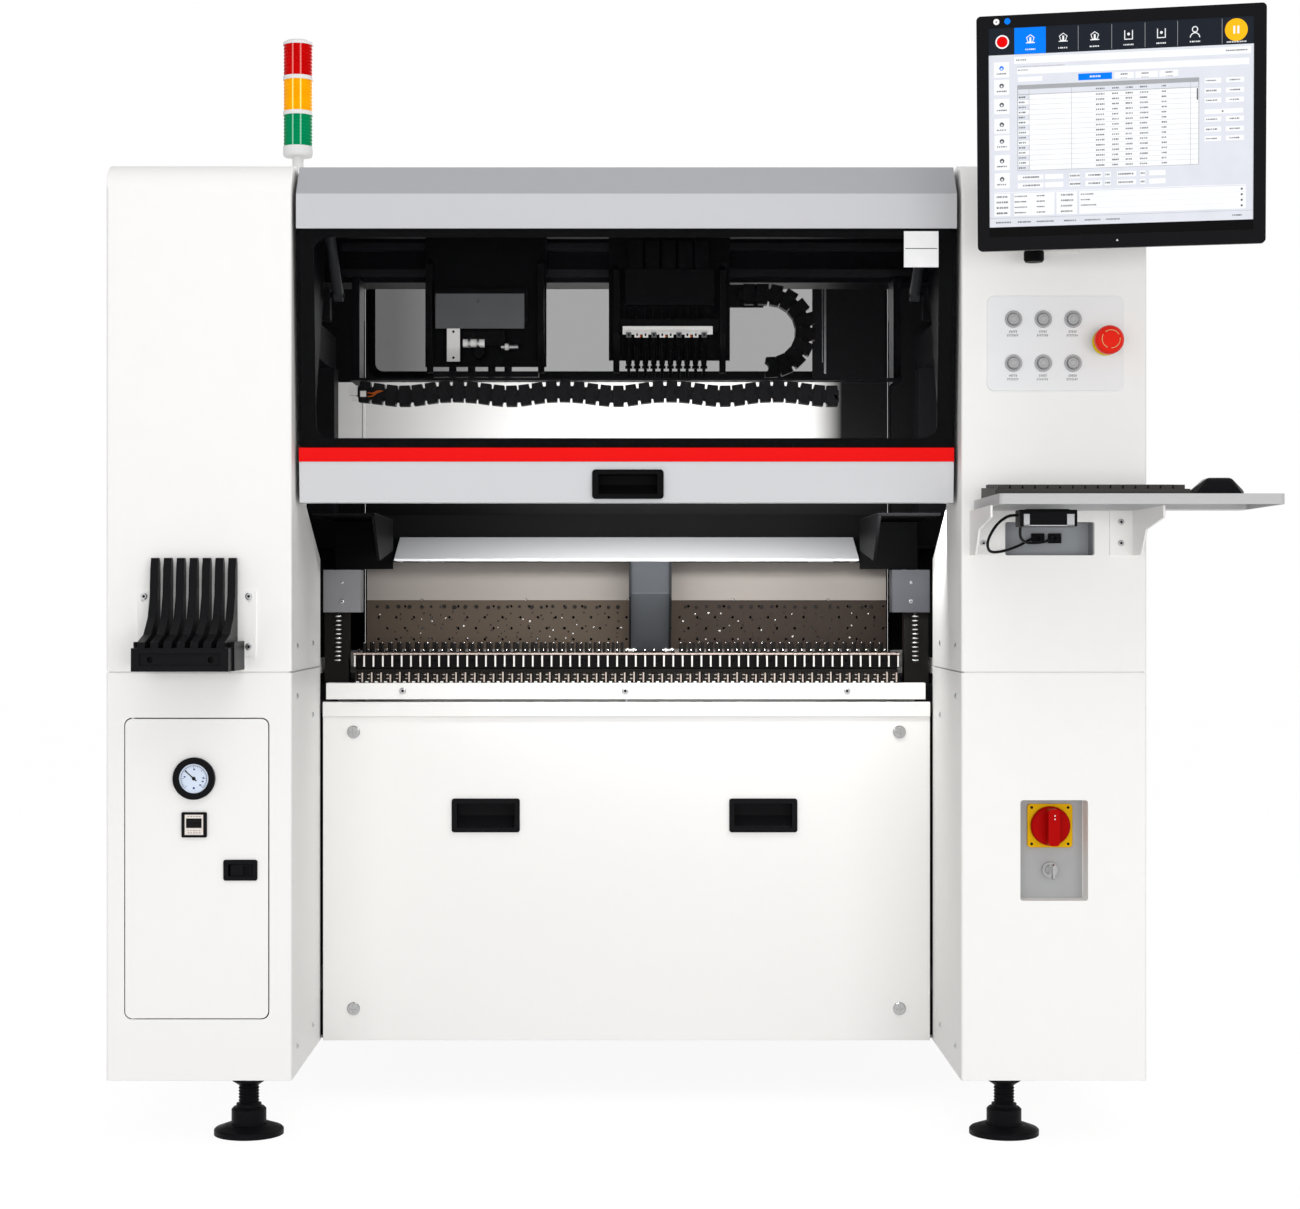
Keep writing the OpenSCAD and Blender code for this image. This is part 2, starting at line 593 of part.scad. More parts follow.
module nozzle(i) translate([nozzle_x0 + i * nozzle_pitch, nozzle_y, 0]) {
    translate([0, 0, beam_z - 158]) cylinder(r = nozzle_r, h = 112);
    translate([0, 0, beam_z - 138]) rotate_extrude() polygon([[0, 0], [3, 0], [4.6, 4], [4.6, 30], [3.4, 34], [3.4, 48], [0, 48]]);
    translate([0, 0, beam_z - 142]) cylinder(r = 5.6, h = 4.5);
    translate([0, 0, beam_z - 159]) cylinder(r1 = 1, r2 = 2.5, h = 8);
}
module nozzle_pair(k) color("#101113") { nozzle(2 * k - 2); nozzle(2 * k - 1); }
module left_head() color("#1c1d20") {
    x = left_head_x;
    carriage(x);
    block([x - head_w / 2, x + head_w / 2], [head_face, head_face + 6], [beam_z - 138, beam_z + beam_h + 2]);
    difference() {
        block([x - 80, x + 66], [beam_y - 58, head_face + into], [beam_z - 72, beam_z - 16]);
        block([x - 74, x + 60], [beam_y - 59, beam_y - 55], [beam_z - 66, beam_z - 22]);
    }
    block([x - 60, x - 38], [beam_y - 56, head_face + into], [beam_z - 129, beam_z - 74]);
    block([x - 36, x + 30], [beam_y - 54, head_face + into], [beam_z - 106, beam_z - 82]);
    rod_y([x - 10, beam_y - 58, beam_z - 118], 9, 24 + into);
    for (s = [-1, 1]) along_x(x + s * 88 - 5, x + s * 88 + 5) polygon([[head_face + into, beam_z + 32],
        [head_face, beam_z + 32], [beam_y - 58, beam_z + 22], [beam_y - 58, beam_z - 88],
        [head_face - 6, beam_z - 148], [head_face, beam_z - 148], [head_face, beam_z - 138],
        [head_face + into, beam_z - 138]]);
}

// ---------------------------------------------------------------- hood
hood_half = inner_x - 6;
hood_top_z = machine_h - 2;
band_top = hood_top_z - facet_h;
lean = hood_lean / (window_top - hood_z);
function face_y(z) = front + 0.5 + max(0, window_top - z) * lean;
// Outer skin of the hood between two heights, thickness t inwards
module skin(z0, z1, t, inset = 0) along_x(-hood_half, hood_half)
    polygon([[face_y(z0) + inset, z0], [face_y(z1) + inset, z1], [face_y(z1) + inset + t, z1],
        [face_y(z0) + inset + t, z0]]);
handle_z = 935;
module hood_shell() color("#b3b4b8") {
    t = cover_t;
    yf = face_y(window_top);
    rear = hinge_y - knuckle_r - 2 * touch;   // clear of the fixed knuckles
    // top plate, facet and front band folded from one sheet
    along_x(-hood_half, hood_half) polygon([[rear, hood_top_z], [yf + facet_d, hood_top_z], [yf, band_top],
        [yf, window_top + 1], [yf + t, window_top + 1], [yf + t, band_top - 1], [yf + facet_d + 1, hood_top_z - t],
        [rear, hood_top_z - t]]);
    difference() {
        union() {
            skin(hood_z, window_z - stripe_h, t);
            along_x(-hood_half, hood_half) polygon([[face_y(hood_z), hood_z], [face_y(hood_z) + 30, hood_z],
                [face_y(hood_z) + 30, hood_z + t], [face_y(hood_z), hood_z + t]]);
            skin(window_z - stripe_h, window_z, t + 1, -1.5);
        }
        along_y(front - 5, front + 70) rounded([2 - 48, 2 + 48], [handle_z - 18, handle_z + 18], 4);
    }
    // moving hinge leaf and knuckles
    w = inner_x - touch;
    difference() {
        for (x = [-w + 20 + knuckle_step : 2 * knuckle_step : w - 20 - knuckle_step]) {
            rod_x([x, hinge_y, hinge_z], knuckle_r, knuckle_step - 1);
            block([x, x + knuckle_step - 1], [hinge_y - 40, hinge_y - 1], [hood_top_z - 1, hood_top_z + 2]);
        }
        rod_x([-w, hinge_y, hinge_z], 2.5 + run, 2 * w);
    }
}
module hood_frame() color("#141517") {
    y1 = face_y(hood_z) + 3.4;
    ring_z = [window_z + 14, window_top - 10];
    both_sides() along_x(hood_half - 4, hood_half - 0.6) polygon([[y1, hood_z + 3.4],
        [face_y(window_z - 1) + 3.4, window_z - 1], [face_y(window_z - 1) + 6.4, window_z - 1],
        [face_y(window_top) + 6.4, window_top], [face_y(window_top) + 6.4, window_top + 1.2],
        [face_y(window_top) + 3.6, window_top + 1.2], [face_y(window_top) + 3.6, band_top - 3],
        [face_y(window_top) + facet_d + 4, hood_top_z - 3.2], [hinge_y - 6, hood_top_z - 3.2],
        [hinge_y - 20, machine_h - 140], [side_short - 8, window_z + 3], [side_short - 30, hood_z + 3.4]]);
    // window surround behind the pane
    difference() {
        skin(window_z - 4, window_top + 10, 3, 6.4);
        along_y(front - 5, front + 90) rounded([-hood_half + 24, hood_half - 24], ring_z, 20);
    }
    // strut brackets
    both_sides() difference() {
        along_x(strut_x + 9, hood_half - 4) polygon([[strut_up[0] - 14, hood_top_z - 3.2],
            [strut_up[0] + 14, hood_top_z - 3.2], [strut_up[0] + 9, strut_up[1] - 9], [strut_up[0] - 9, strut_up[1] - 9]]);
        rod_x([strut_x + 8, strut_up[0], strut_up[1]], 2.5, 4);
    }
    // recessed hood handle
    difference() {
        union() {
            along_y(face_y(handle_z) - 5, face_y(handle_z) + 28)
                rounded([2 - 47.5, 2 + 47.5], [handle_z - 17.5, handle_z + 17.5], 3.5);
            along_y(face_y(handle_z) - 6, face_y(handle_z) - 3)
                rounded([2 - 51, 2 + 51], [handle_z - 21, handle_z + 21], 5);
        }
        along_x(2 - 42, 2 + 42) polygon([[front - 10, handle_z + 14], [front - 10, handle_z - 14],
            [face_y(handle_z) + 8, handle_z - 14], [face_y(handle_z) + 24, handle_z], [face_y(handle_z) + 24, handle_z + 14]]);
    }
}
module hood_window() color("#20242a", 0.45) skin(window_z + 0.3, window_top + 0.7, 5, 1);

// Gas struts
strut_d = [strut_up[0] - strut_low[0], strut_up[1] - strut_low[1]];
strut_len = norm(strut_d);
strut_a = atan2(strut_d[1], strut_d[0]);
module strut_place(x) translate([x, strut_low[0], strut_low[1]]) rotate([strut_a - 90, 0, 0]) children();
module strut_tubes() color("#3c3f44") both_sides() strut_place(strut_x) difference() {
    union() {
        cylinder(r = strut_r, h = strut_len - 30);
        translate([-strut_r + 1, 0, 0]) rotate([0, 90, 0]) cylinder(r = 9.5, h = 2 * strut_r - 2);
    }
    translate([-20, 0, 0]) rotate([0, 90, 0]) cylinder(r = 4 + run, h = 40);
    translate([0, 0, 12]) cylinder(r = strut_rod_r + run, h = strut_len);
}
module strut_rods() color("silver") both_sides() strut_place(strut_x) difference() {
    union() {
        translate([0, 0, 40]) cylinder(r = strut_rod_r, h = strut_len - 46);
        translate([-6, 0, strut_len]) rotate([0, 90, 0]) cylinder(r = 8, h = 12);
    }
    translate([-20, 0, strut_len]) rotate([0, 90, 0]) cylinder(r = 4, h = 40);
}

// ---------------------------------------------------------------- signal lamp
lamp_x = -571;
lamp_y = front + 784;
lamp_r = 25;
tier = 61;
module lamp_at(z) translate([lamp_x, lamp_y, z]) children();
module lamp_body() color("#e9e9ea") {
    lamp_at(machine_h) rotate_extrude() polygon([[0, 0], [28, 0], [28, 5], [16, 9], [10, 22], [10, 150],
        [24, 151], [lamp_r + 1, 154], [lamp_r + 1, 168], [0, 168]]);
    for (k = [1 : 2]) lamp_at(machine_h + 168 + k * tier - 7) cylinder(r = lamp_r + 1, h = 7);
    lamp_at(machine_h + 168 + 3 * tier - 7) rotate_extrude()
        polygon([[0, 0], [lamp_r + 1, 0], [lamp_r + 1, 5], [lamp_r - 4, 8], [0, 9]]);
}
module lens(k) lamp_at(machine_h + 168 + k * tier) difference() {
    rotate_extrude() polygon([[0, 0], [lamp_r, 0], for (j = [0 : 8]) each [[lamp_r, j * 6], [lamp_r - 0.8, j * 6 + 3]],
        [lamp_r, tier - 7], [0, tier - 7]]);
}
module lamp_green() color("#0c8f57") lens(0);
module lamp_amber() color("#f5a417") lens(1);
module lamp_red() color("#c8141b") lens(2);

// ---------------------------------------------------------------- controls
button_x = [546, 588, 630];
button_z = [panel_z[1] - 33, panel_z[0] + 39];
estop_x = 674;
estop_z = panel_z[0] + 68;
plate_front = front - 3;
module control_panel() color("#d9dadd") {
    difference() {
        along_y(plate_front, front) rounded(panel_x, panel_z, 10.7);
        for (x = button_x, z = button_z) rod_y([x, plate_front - 1, z], button_d / 2 + touch, 6);
        rod_y([estop_x, plate_front - 1, estop_z], 11.5, 6);
    }
    for (x = button_x, z = button_z) difference() {
        rod_y([x, plate_front - 3, z], 12, 3);
        rod_y([x, plate_front - 4, z], button_d / 2 + touch, 6);
    }
    for (x = button_x, z = button_z) difference() {
        rod_y([x, front, z], 11, 30);
        rod_y([x, front - 1, z], button_d / 2 + touch, 20);
    }
    difference() {
        rod_y([estop_x, plate_front - 12, estop_z], 16, 12);
        rod_y([estop_x, plate_front - 13, estop_z], 11.5, 14);
    }
    difference() {
        rod_y([estop_x, front, estop_z], 14, 34);
        rod_y([estop_x, front - 1, estop_z], 11.5, 24);
    }
}
module button(i) color("#c3c4c6") {
    x = button_x[(i - 1) % 3];
    z = button_z[floor((i - 1) / 3)];
    rod_y([x, plate_front - 5, z], button_d / 2, 16);
    rod_y([x, plate_front - 6, z], button_d / 2 - 1.5, 2);
}
module estop_cap() color("#e2231a") translate([estop_x, plate_front, estop_z]) rotate([90, 0, 0])
    rotate_extrude() polygon([[0, -16], [11, -16], [11, 18], [15, 19], [15, 26], [estop_d / 2 - 1, 28],
        [estop_d / 2, 31], [estop_d / 2, 41], [estop_d / 2 - 3, 46], [11, 49], [0, 50]]);

module isolator_plate() color("#f2c200") {
    y = front + recess_d;
    difference() {
        along_y(y - 5, y) rounded([plate_x - 32, plate_x + 32], [plate_z - 31, plate_z + 31], 5);
        rod_y([plate_x, y - 6, plate_z], 6 + run, 12);
    }
    difference() {
        rod_y([plate_x, y - 6, lock_z], 11, 6);
        rod_y([plate_x, y - 7, lock_z], 7 + run, 10);
    }
}
module isolator_knob() color("#d9201a") {
    y = front + recess_d;
    r = isolator_d / 2;
    rod_y([plate_x, y - 5 - touch, plate_z], 6, 12);
    translate([plate_x, y - 5 - touch, plate_z]) rotate([90, 0, 0])
        rotate_extrude() polygon([[0, 0], [r, 0], [r, 6], [r - 2, 9], [r - 8, 10], [0, 10]]);
    along_y(y - 40, y - 15) rounded([plate_x - 8, plate_x + 8], [plate_z - r + 2, plate_z + r - 2], 5);
}
module lock_key() color("#c9c9cb") {
    y = front + recess_d;
    rod_y([plate_x, y - 8, lock_z], 7, 8);
    block([plate_x - 1, plate_x + 1], [y - 24, y - 8], [lock_z - 4, lock_z + 4]);
    difference() {
        along_x(plate_x - 1.2, plate_x + 1.2) rounded([y - 38, y - 22], [lock_z - 11, lock_z + 11], 5);
        rod_x([plate_x - 3, y - 31, lock_z - 6], 2.5, 6);
    }
}

// ---------------------------------------------------------------- fin rack
fin_n = 7;
fin_x = [-672, -545];
module fin_rack() color("#17181a") {
    step = (fin_x[1] - fin_x[0]) / fin_n;
    for (i = [0 : fin_n - 1]) translate([fin_x[0] + step * (i + 0.5), 0, 0])
        along_x(-5.5, 5.5) polygon([[front - 4, 822], [front - 8, 829], [front - 16, 829], [front - 22, 812],
            [front - 26, 775], [front - 40, 745], [front - 70, 722], [front - 112, 712], [front - 116, 704],
            [front - 10, 704], [front - 4, 712]]);
    difference() {
        block([fin_x[0] - 3, fin_x[1] + 3], [front - 122, front - 4], [672, 704]);
        block([fin_x[0] + 8, fin_x[1] - 8], [front - 123, front - 118], [680, 697]);
        for (x = [fin_x[0] + 22, fin_x[1] - 22]) rod_y([x, front - 120, 688], 4, 12);
    }
    for (s = fin_x) block([s == fin_x[0] ? s - 6 : s + 3, s == fin_x[0] ? s - 3 : s + 6],
        [front - 90, front], [672, 712]);
    difference() {
        block([-690, -524], [front - 3, front], [690, 782]);
        for (p = [[-682, 769.5], [-532, 769.5], [-532, 705]]) rod_y([p[0], front - 4, p[1]], 2.6, 6);
    }
}

// ---------------------------------------------------------------- keyboard shelf
tray_x = [490, 868];
tray_z = 910;
tray_t = 14;
tray_y = front - 232;
module shelf_tray() color("#c9cacc") difference() {
    translate([0, 0, tray_z - tray_t]) linear_extrude(tray_t) rounded(tray_x, [tray_y, front - touch], 8);
    translate([0, 0, tray_z - tray_t - 1]) linear_extrude(tray_t - 2)
        rounded([tray_x[0] + 3, tray_x[1] - 3], [tray_y + 3, front - 45], 6);
}
ear_z = machine_h - 128;         // underside of the monitor bracket
module tower_brackets() color("#eceae7") {
    z1 = tray_z - tray_t;
    // right and left gussets with tower flanges
    for (x = [486, 716]) {
        along_x(x - 1.5, x + 1.5) polygon([[front, z1 - 63], [front - 55, z1 - 63], [front - 88, z1 - 29],
            [front - 195, z1 - 16], [front - 195, z1], [front, z1]]);
        difference() {
            block(x < 600 ? [x - 1.5, x + 34] : [x - 34, x + 1.5], [front - 3, front], [z1 - 63, z1]);
            for (z = [z1 - 46, z1 - 16]) rod_y([x < 600 ? x + 18 : x - 18, front - 4, z], 3, 6);
        }
    }
    // monitor bracket: plate and two ears with the pivot post
    difference() {
        union() {
            block([540, 640], [front - 6, front], [ear_z, ear_z + 88]);
            for (z = [ear_z, ear_z + 48]) {
                block([552, 582], [front - 50, front - 6], [z, z + 12]);
                translate([567, front - 50, z]) cylinder(r = 15, h = 12);
            }
        }
        translate([567, front - 50, ear_z - 62]) cylinder(r = 8 + run, h = 200);
    }
}
mon_c = [653, front - 214, machine_h + 3];
mon_w = 375;
mon_h = 310;
mon_yaw = -12;
mon_tilt = 6;
pivot_d = 46;                    // tilt pivot behind the screen's face
module at_monitor() translate(mon_c) rotate([0, 0, mon_yaw]) children();
module monitor_arm() color("#222326") {
    translate([567, front - 50, ear_z - 19]) cylinder(r = 8, h = 112);
    translate([567, front - 50, ear_z - 22]) rotate_extrude() polygon([[0, 0], [12, 0], [14, 3], [14, 14], [10, 20], [0, 20]]);
    translate([567, front - 50, ear_z + 60.5]) cylinder(r = 14, h = 32);
    hull() {
        translate([567, front - 50, ear_z + 68]) cylinder(r = 12, h = 22, $fn = 24);
        translate([625, front - 118, ear_z + 78]) cylinder(r = 12, h = 22, $fn = 24);
    }
    hull() {
        translate([625, front - 118, ear_z + 78]) cylinder(r = 12, h = 22, $fn = 24);
        at_monitor() translate([-10, pivot_d + 15, -30]) cube([20, 10, 60]);
    }
    at_monitor() {
        difference() {
            for (s = [-1, 1]) translate([s * 22 - 5, 0, 0]) {
                translate([0, pivot_d, 0]) rotate([0, 90, 0]) cylinder(r = 8.5, h = 10);
                translate([0, pivot_d, -8.5]) cube([10, 16, 17]);
            }
            translate([-40, pivot_d, 0]) rotate([0, 90, 0]) cylinder(r = 5 + run, h = 80);
        }
        translate([-30, pivot_d + 14, -20]) cube([60, 10, 40]);
    }
}
module monitor() color("#151517") at_monitor() {
    translate([-27, pivot_d, 0]) rotate([0, 90, 0]) cylinder(r = 5, h = 54);
    translate([-16.5, pivot_d, 0]) rotate([0, 90, 0]) cylinder(r = 8.5, h = 33);
    rotate([mon_tilt, 0, 0]) {
        difference() {
            rotate([90, 0, 0]) translate([0, 0, -22]) linear_extrude(22)
                rounded([-mon_w / 2, mon_w / 2], [-mon_h / 2, mon_h / 2], 6);
            translate([-mon_w / 2 + 16, -1, -mon_h / 2 + 18]) cube([mon_w - 32, 2.5, mon_h - 34]);
        }
        translate([-120, 21, -95]) cube([240, 13, 190]);
        translate([-50, 33, -50]) cube([100, 4, 100]);
        translate([-16.5, 36, -3]) cube([33, 10, 8]);
    }
}

kb_x = [487, 752];
kb_y = [front - 190, front - 62];
module keyboard() color("#1b1c1e") {
    // wedge body and keys in staggered rows
    along_x(kb_x[0] + 5, kb_x[1]) polygon([[kb_y[0], tray_z], [kb_y[0], tray_z + 8], [kb_y[1], tray_z + 15],
        [kb_y[1], tray_z]]);
    for (r = [0 : 4], k = [0 : 14])
        block([kb_x[0] + 10 + k * 16.8, kb_x[0] + 24.5 + k * 16.8],
            [kb_y[0] + 9 + r * 22.5, kb_y[0] + 28 + r * 22.5],
            [tray_z + 7 + r * 1.1, tray_z + 14 + r * 1.15]);
    // mouse: rounded shell on a flat base
    translate([798, front - 140, tray_z]) difference() {
        hull() {
            translate([-32, 0, 4]) scale(1) sphere(r = 5, $fn = 24);
            for (x = [-28, 28], y = [-18, 18]) translate([x, y, 3]) sphere(r = 3, $fn = 16);
            for (x = [-10, 14], y = [-9, 9]) translate([x, y, 15]) sphere(r = 10, $fn = 24);
            translate([30, 0, 4]) sphere(r = 8, $fn = 24);
        }
        translate([-60, -60, -20]) cube([120, 120, 20]);
    }
}

// Tube swept along a list of points with n sides
function unit(v) = v / norm(v);
function tangent(p, i) = unit(p[min(i + 1, len(p) - 1)] - p[max(i - 1, 0)]);
function side_of(t) = unit(cross(t, abs(t[2]) > 0.9 ? [1, 0, 0] : [0, 0, 1]));
module sweep(path, r, n = 8) {
    m = len(path);
    points = [for (i = [0 : m - 1]) let (t = tangent(path, i), u = side_of(t), v = cross(t, u))
        for (k = [0 : n - 1]) path[i] + r * (cos(k * 360 / n) * u + sin(k * 360 / n) * v)];
    faces = concat([[for (k = [0 : n - 1]) k]],
        [for (i = [0 : m - 2], k = [0 : n - 1]) [i * n + k, (i + 1) * n + k, (i + 1) * n + (k + 1) % n,
            i * n + (k + 1) % n]],
        [[for (k = [n - 1 : -1 : 0]) (m - 1) * n + k]]);
    polyhedron(points, faces, convexity = 6);
}
// Catmull-Rom curve through hand-set points
function curve_at(a, b, c, d, t) = 0.5 * (2 * b + (c - a) * t + (2 * a - 5 * b + 4 * c - d) * t * t
    + (3 * b - a - 3 * c + d) * t * t * t);
function smooth_path(p, n) = [for (i = [0 : len(p) - 2], k = [0 : n - 1])
    curve_at(p[max(i - 1, 0)], p[i], p[i + 1], p[min(i + 2, len(p) - 1)], k / n), p[len(p) - 1]];
hub_x = [536, 614];
hub_y = [front - 122, front - 82];
cable_r = 2;
cable_a = [[536, -582, 886], [522, -580, 884], [508, -572, 872], [500, -552, 852], [506, -528, 838],
    [526, -506, 838], [552, -486, 846], [574, -462, 856], [588, -444, 858]];
cable_b = [[545, -562, 876], [544, -554, 868], [548, -536, 856], [562, -510, 850], [590, -480, 852],
    [604, -460, 858], [612, -444, 858]];
module usb_hub() color("#16171a") {
    along_x(hub_x[0], hub_x[1]) rounded(hub_y, [870, 893], 4);
    block([hub_x[0] + 10, hub_x[1] - 10], [hub_y[0] + 6, hub_y[1] - 6], [893, 894]);
    for (x = [588, 612]) block([x - 9, x + 9], [-443, -435], [851, 865]);
    sweep(smooth_path(cable_a, 4), cable_r);
    sweep(smooth_path(cable_b, 4), cable_r);
}

// ---------------------------------------------------------------- left door
gauge_at = [-610, 518];
switch_z = 452.6;
latch_at = [-545, 388.5];
module left_door() color("#f4f3f1") {
    difference() {
        union() {
            along_y(front - 1, front + 2) rounded(door_x, door_z, 10);
            difference() {
                along_y(front + 2, front + 15) rounded([door_x[0] + 3, door_x[1] - 3], [door_z[0] + 3, door_z[1] - 3], 8);
                along_y(front + 1, front + 16) rounded([door_x[0] + 5, door_x[1] - 5], [door_z[0] + 5, door_z[1] - 5], 7);
            }
            for (z = [door_z[0] + 4, door_z[1] - 24]) block([door_x[0] + 4, door_x[0] + 18], [front + 1, front + 12], [z, z + 20]);
        }
        rod_y([gauge_at[0], front - 2, gauge_at[1]], 26, 10);
        block([gauge_at[0] - 16, gauge_at[0] + 16], [front - 2, front + 4], [switch_z - 16, switch_z + 16]);
        block([latch_at[0] - 20, latch_at[0] + 20], [front - 2, front + 4], [latch_at[1] - 11, latch_at[1] + 11]);
    }
    translate([pivot_x, pivot_y, door_z[0] - 7]) cylinder(r = pin_r, h = 12);
    translate([pivot_x, pivot_y, door_z[1] - 5]) cylinder(r = pin_r, h = 12);
}
module door_fittings() color("#1a1b1d") {
    // pressure gauge: bezel ring, dial, case and stem
    difference() {
        union() {
            rod_y([gauge_at[0], front - 9, gauge_at[1]], 29.7, 8);
            rod_y([gauge_at[0], front - 1, gauge_at[1]], 25.7, 27);
        }
        rod_y([gauge_at[0], front - 10, gauge_at[1]], 21, 5);
    }
    rod_y([gauge_at[0], front + 26, gauge_at[1]], 7, 16);
    along_x(gauge_at[0] - 0.8, gauge_at[0] + 0.8) polygon([[front - 6, gauge_at[1] - 4], [front - 6, gauge_at[1] + 17],
        [front - 5, gauge_at[1] + 17], [front - 5, gauge_at[1] - 4]]);
    // pressure switch with its display window
    difference() {
        union() {
            along_y(front - 5, front - 1) rounded([gauge_at[0] - 17.8, gauge_at[0] + 17.8], [switch_z - 17.8, switch_z + 17.8], 2);
            along_y(front - 1, front + 24) rounded([gauge_at[0] - 15.7, gauge_at[0] + 15.7], [switch_z - 15.7, switch_z + 15.7], 2);
        }
        block([gauge_at[0] - 12, gauge_at[0] + 12], [front - 6, front - 4], [switch_z - 4, switch_z + 13]);
    }
    // latch housing
    difference() {
        union() {
            along_y(front - 3.5, front - 1) rounded([latch_at[0] - 24, latch_at[0] + 24], [latch_at[1] - 14.7, latch_at[1] + 14.7], 3);
            along_y(front - 1, front + 16) rounded([latch_at[0] - 19.7, latch_at[0] + 19.7], [latch_at[1] - 10.7, latch_at[1] + 10.7], 2);
        }
        block([latch_at[0] - 17, latch_at[0] + 17], [front - 4, front + 13], [latch_at[1] - 8.5, latch_at[1] + 8.5]);
        translate([latch_at[0] - 12, front + 4, latch_at[1] - 10.2]) cylinder(r = 2 + run, h = 20.4);
    }
}
module door_latch() color("#232427") {
    translate([latch_at[0] - 12, front + 4, latch_at[1] - 10]) cylinder(r = 2, h = 20);
    difference() {
        block([latch_at[0] - 14, latch_at[0] + 16], [front - 2, front + 5], [latch_at[1] - 8, latch_at[1] + 8]);
        block([latch_at[0] + 4, latch_at[0] + 13], [front - 3, front + 3], [latch_at[1] - 6, latch_at[1] + 6]);
    }
}

base_frame();
levelling_feet();
left_lower_cover();
right_lower_cover();
left_upper_cover();
right_upper_cover();
rear_cover();
rear_window();
rear_lower_panels();
front_panel();
panel_pulls();
panel_locks();
feeder_comb();
feeder_rail();
back_plate();
deflector_cover();
waste_chute();
side_shields();
y_rails();
conveyor_front_rail();
conveyor_rear_rail();
lamp_body();
lamp_red();
lamp_amber();
lamp_green();
control_panel();
isolator_plate();
fin_rack();
shelf_tray();
tower_brackets();
keyboard();
usb_hub();
hood_shell();
hood_frame();
hood_window();
strut_tubes();
strut_rods();
x_beam();
drag_chain();
left_head();
right_head();
left_door();
door_fittings();
door_latch();
estop_cap();
isolator_knob();
lock_key();
monitor_arm();
monitor();
for (k = [1 : 5]) nozzle_pair(k);
for (i = [1 : 6]) button(i);
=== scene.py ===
# %% [markdown]
# # Finishing a pick and place machine in Blender
# The machine's solids are already made and come in as a fixed frame. This lesson gives every
# one of them a finish and adds the small pieces that are seen but carry nothing: the screen's
# picture, dial faces, screws, wiring and trims. Everything is in metres. X runs to the right,
# Y to the rear and Z up, and the floor is at Z = 0.

# %% Load the frame
import json
import math
import random

import bmesh
import bpy
from mathutils import Matrix, Vector


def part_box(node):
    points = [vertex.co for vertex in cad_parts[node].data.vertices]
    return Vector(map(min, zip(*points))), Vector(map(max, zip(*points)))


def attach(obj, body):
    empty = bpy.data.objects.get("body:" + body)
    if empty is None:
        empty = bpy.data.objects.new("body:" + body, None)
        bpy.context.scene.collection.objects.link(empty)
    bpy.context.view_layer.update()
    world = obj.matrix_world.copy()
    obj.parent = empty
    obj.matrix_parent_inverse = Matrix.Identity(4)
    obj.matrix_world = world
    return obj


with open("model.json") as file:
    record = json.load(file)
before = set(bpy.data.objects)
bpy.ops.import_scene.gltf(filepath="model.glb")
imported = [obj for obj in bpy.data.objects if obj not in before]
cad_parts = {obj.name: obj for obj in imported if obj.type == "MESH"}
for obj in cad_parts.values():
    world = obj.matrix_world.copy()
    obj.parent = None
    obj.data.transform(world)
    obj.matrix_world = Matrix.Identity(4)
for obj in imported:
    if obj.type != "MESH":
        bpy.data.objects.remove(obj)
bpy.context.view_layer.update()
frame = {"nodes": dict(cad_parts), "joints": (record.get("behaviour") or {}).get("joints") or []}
nodes = frame["nodes"]
MM = 0.001

# %% [markdown]
# ## Camera
# The machine was looked at from straight in front, 767 mm above the floor and 3.39 m before
# the towers. A long lens keeps its upright edges upright, and a small shift frames it.

# %% Camera
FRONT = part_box("left_upper_cover")[0][1]
camera_data = bpy.data.cameras.new("camera")
camera_data.lens = 66.46
camera_data.sensor_width = 36
camera_data.shift_x = 0.0181
camera_data.shift_y = -0.0019
camera = bpy.data.objects.new("camera", camera_data)
camera.location = (0, FRONT - 3.39, 0.767)
camera.rotation_euler = (math.radians(90), 0, 0)
bpy.context.scene.collection.objects.link(camera)
bpy.context.scene.camera = camera

# %% [markdown]
# ## Light
# A wide soft panel in front shows the white covers without hard shadows, and is left out of
# reflections so that black parts stay deep. One above lights the surfaces that face up, and
# two strips light the bed and the rear wall inside. Floor and background are a plain white
# that the camera, metal and glass see, while their light on the machine is kept lower. A
# share of the floor's real shade stays in the picture, and with it the machine's shadow.

# %% Lamps, world and floor
bpy.context.scene.view_settings.view_transform = "Standard"


def soft_panel(name, place, target, size, watts, mirrored=True):
    data = bpy.data.lights.new(name, "AREA")
    data.shape = "RECTANGLE"
    data.size, data.size_y = size
    data.energy = watts
    lamp = bpy.data.objects.new(name, data)
    lamp.location = place
    aim = Vector(target) - Vector(place)
    lamp.rotation_euler = aim.to_track_quat("-Z", "Y").to_euler()
    lamp.visible_glossy = mirrored
    bpy.context.scene.collection.objects.link(lamp)


soft_panel("front_light", (0.3, -5.4, 0.72), (0, 0, 0.8), (4.6, 1.3), 108, mirrored=False)
soft_panel("top_light", (0.5, -2.4, 3.4), (0, 0, 0.9), (2.4, 1.8), 17, mirrored=False)
soft_panel("rear_light", (0.4, 3.4, 2.4), (0, 0, 0.9), (3.0, 2.0), 50)
soft_panel("inner_light", (0.12, 0.12, 1.02), (0.12, 0.476, 1.12), (0.7, 0.06), 3.0)
soft_panel("bed_light", (0.12, -0.30, 0.885), (0.14, 0.02, 0.82), (0.7, 0.04), 2.4)


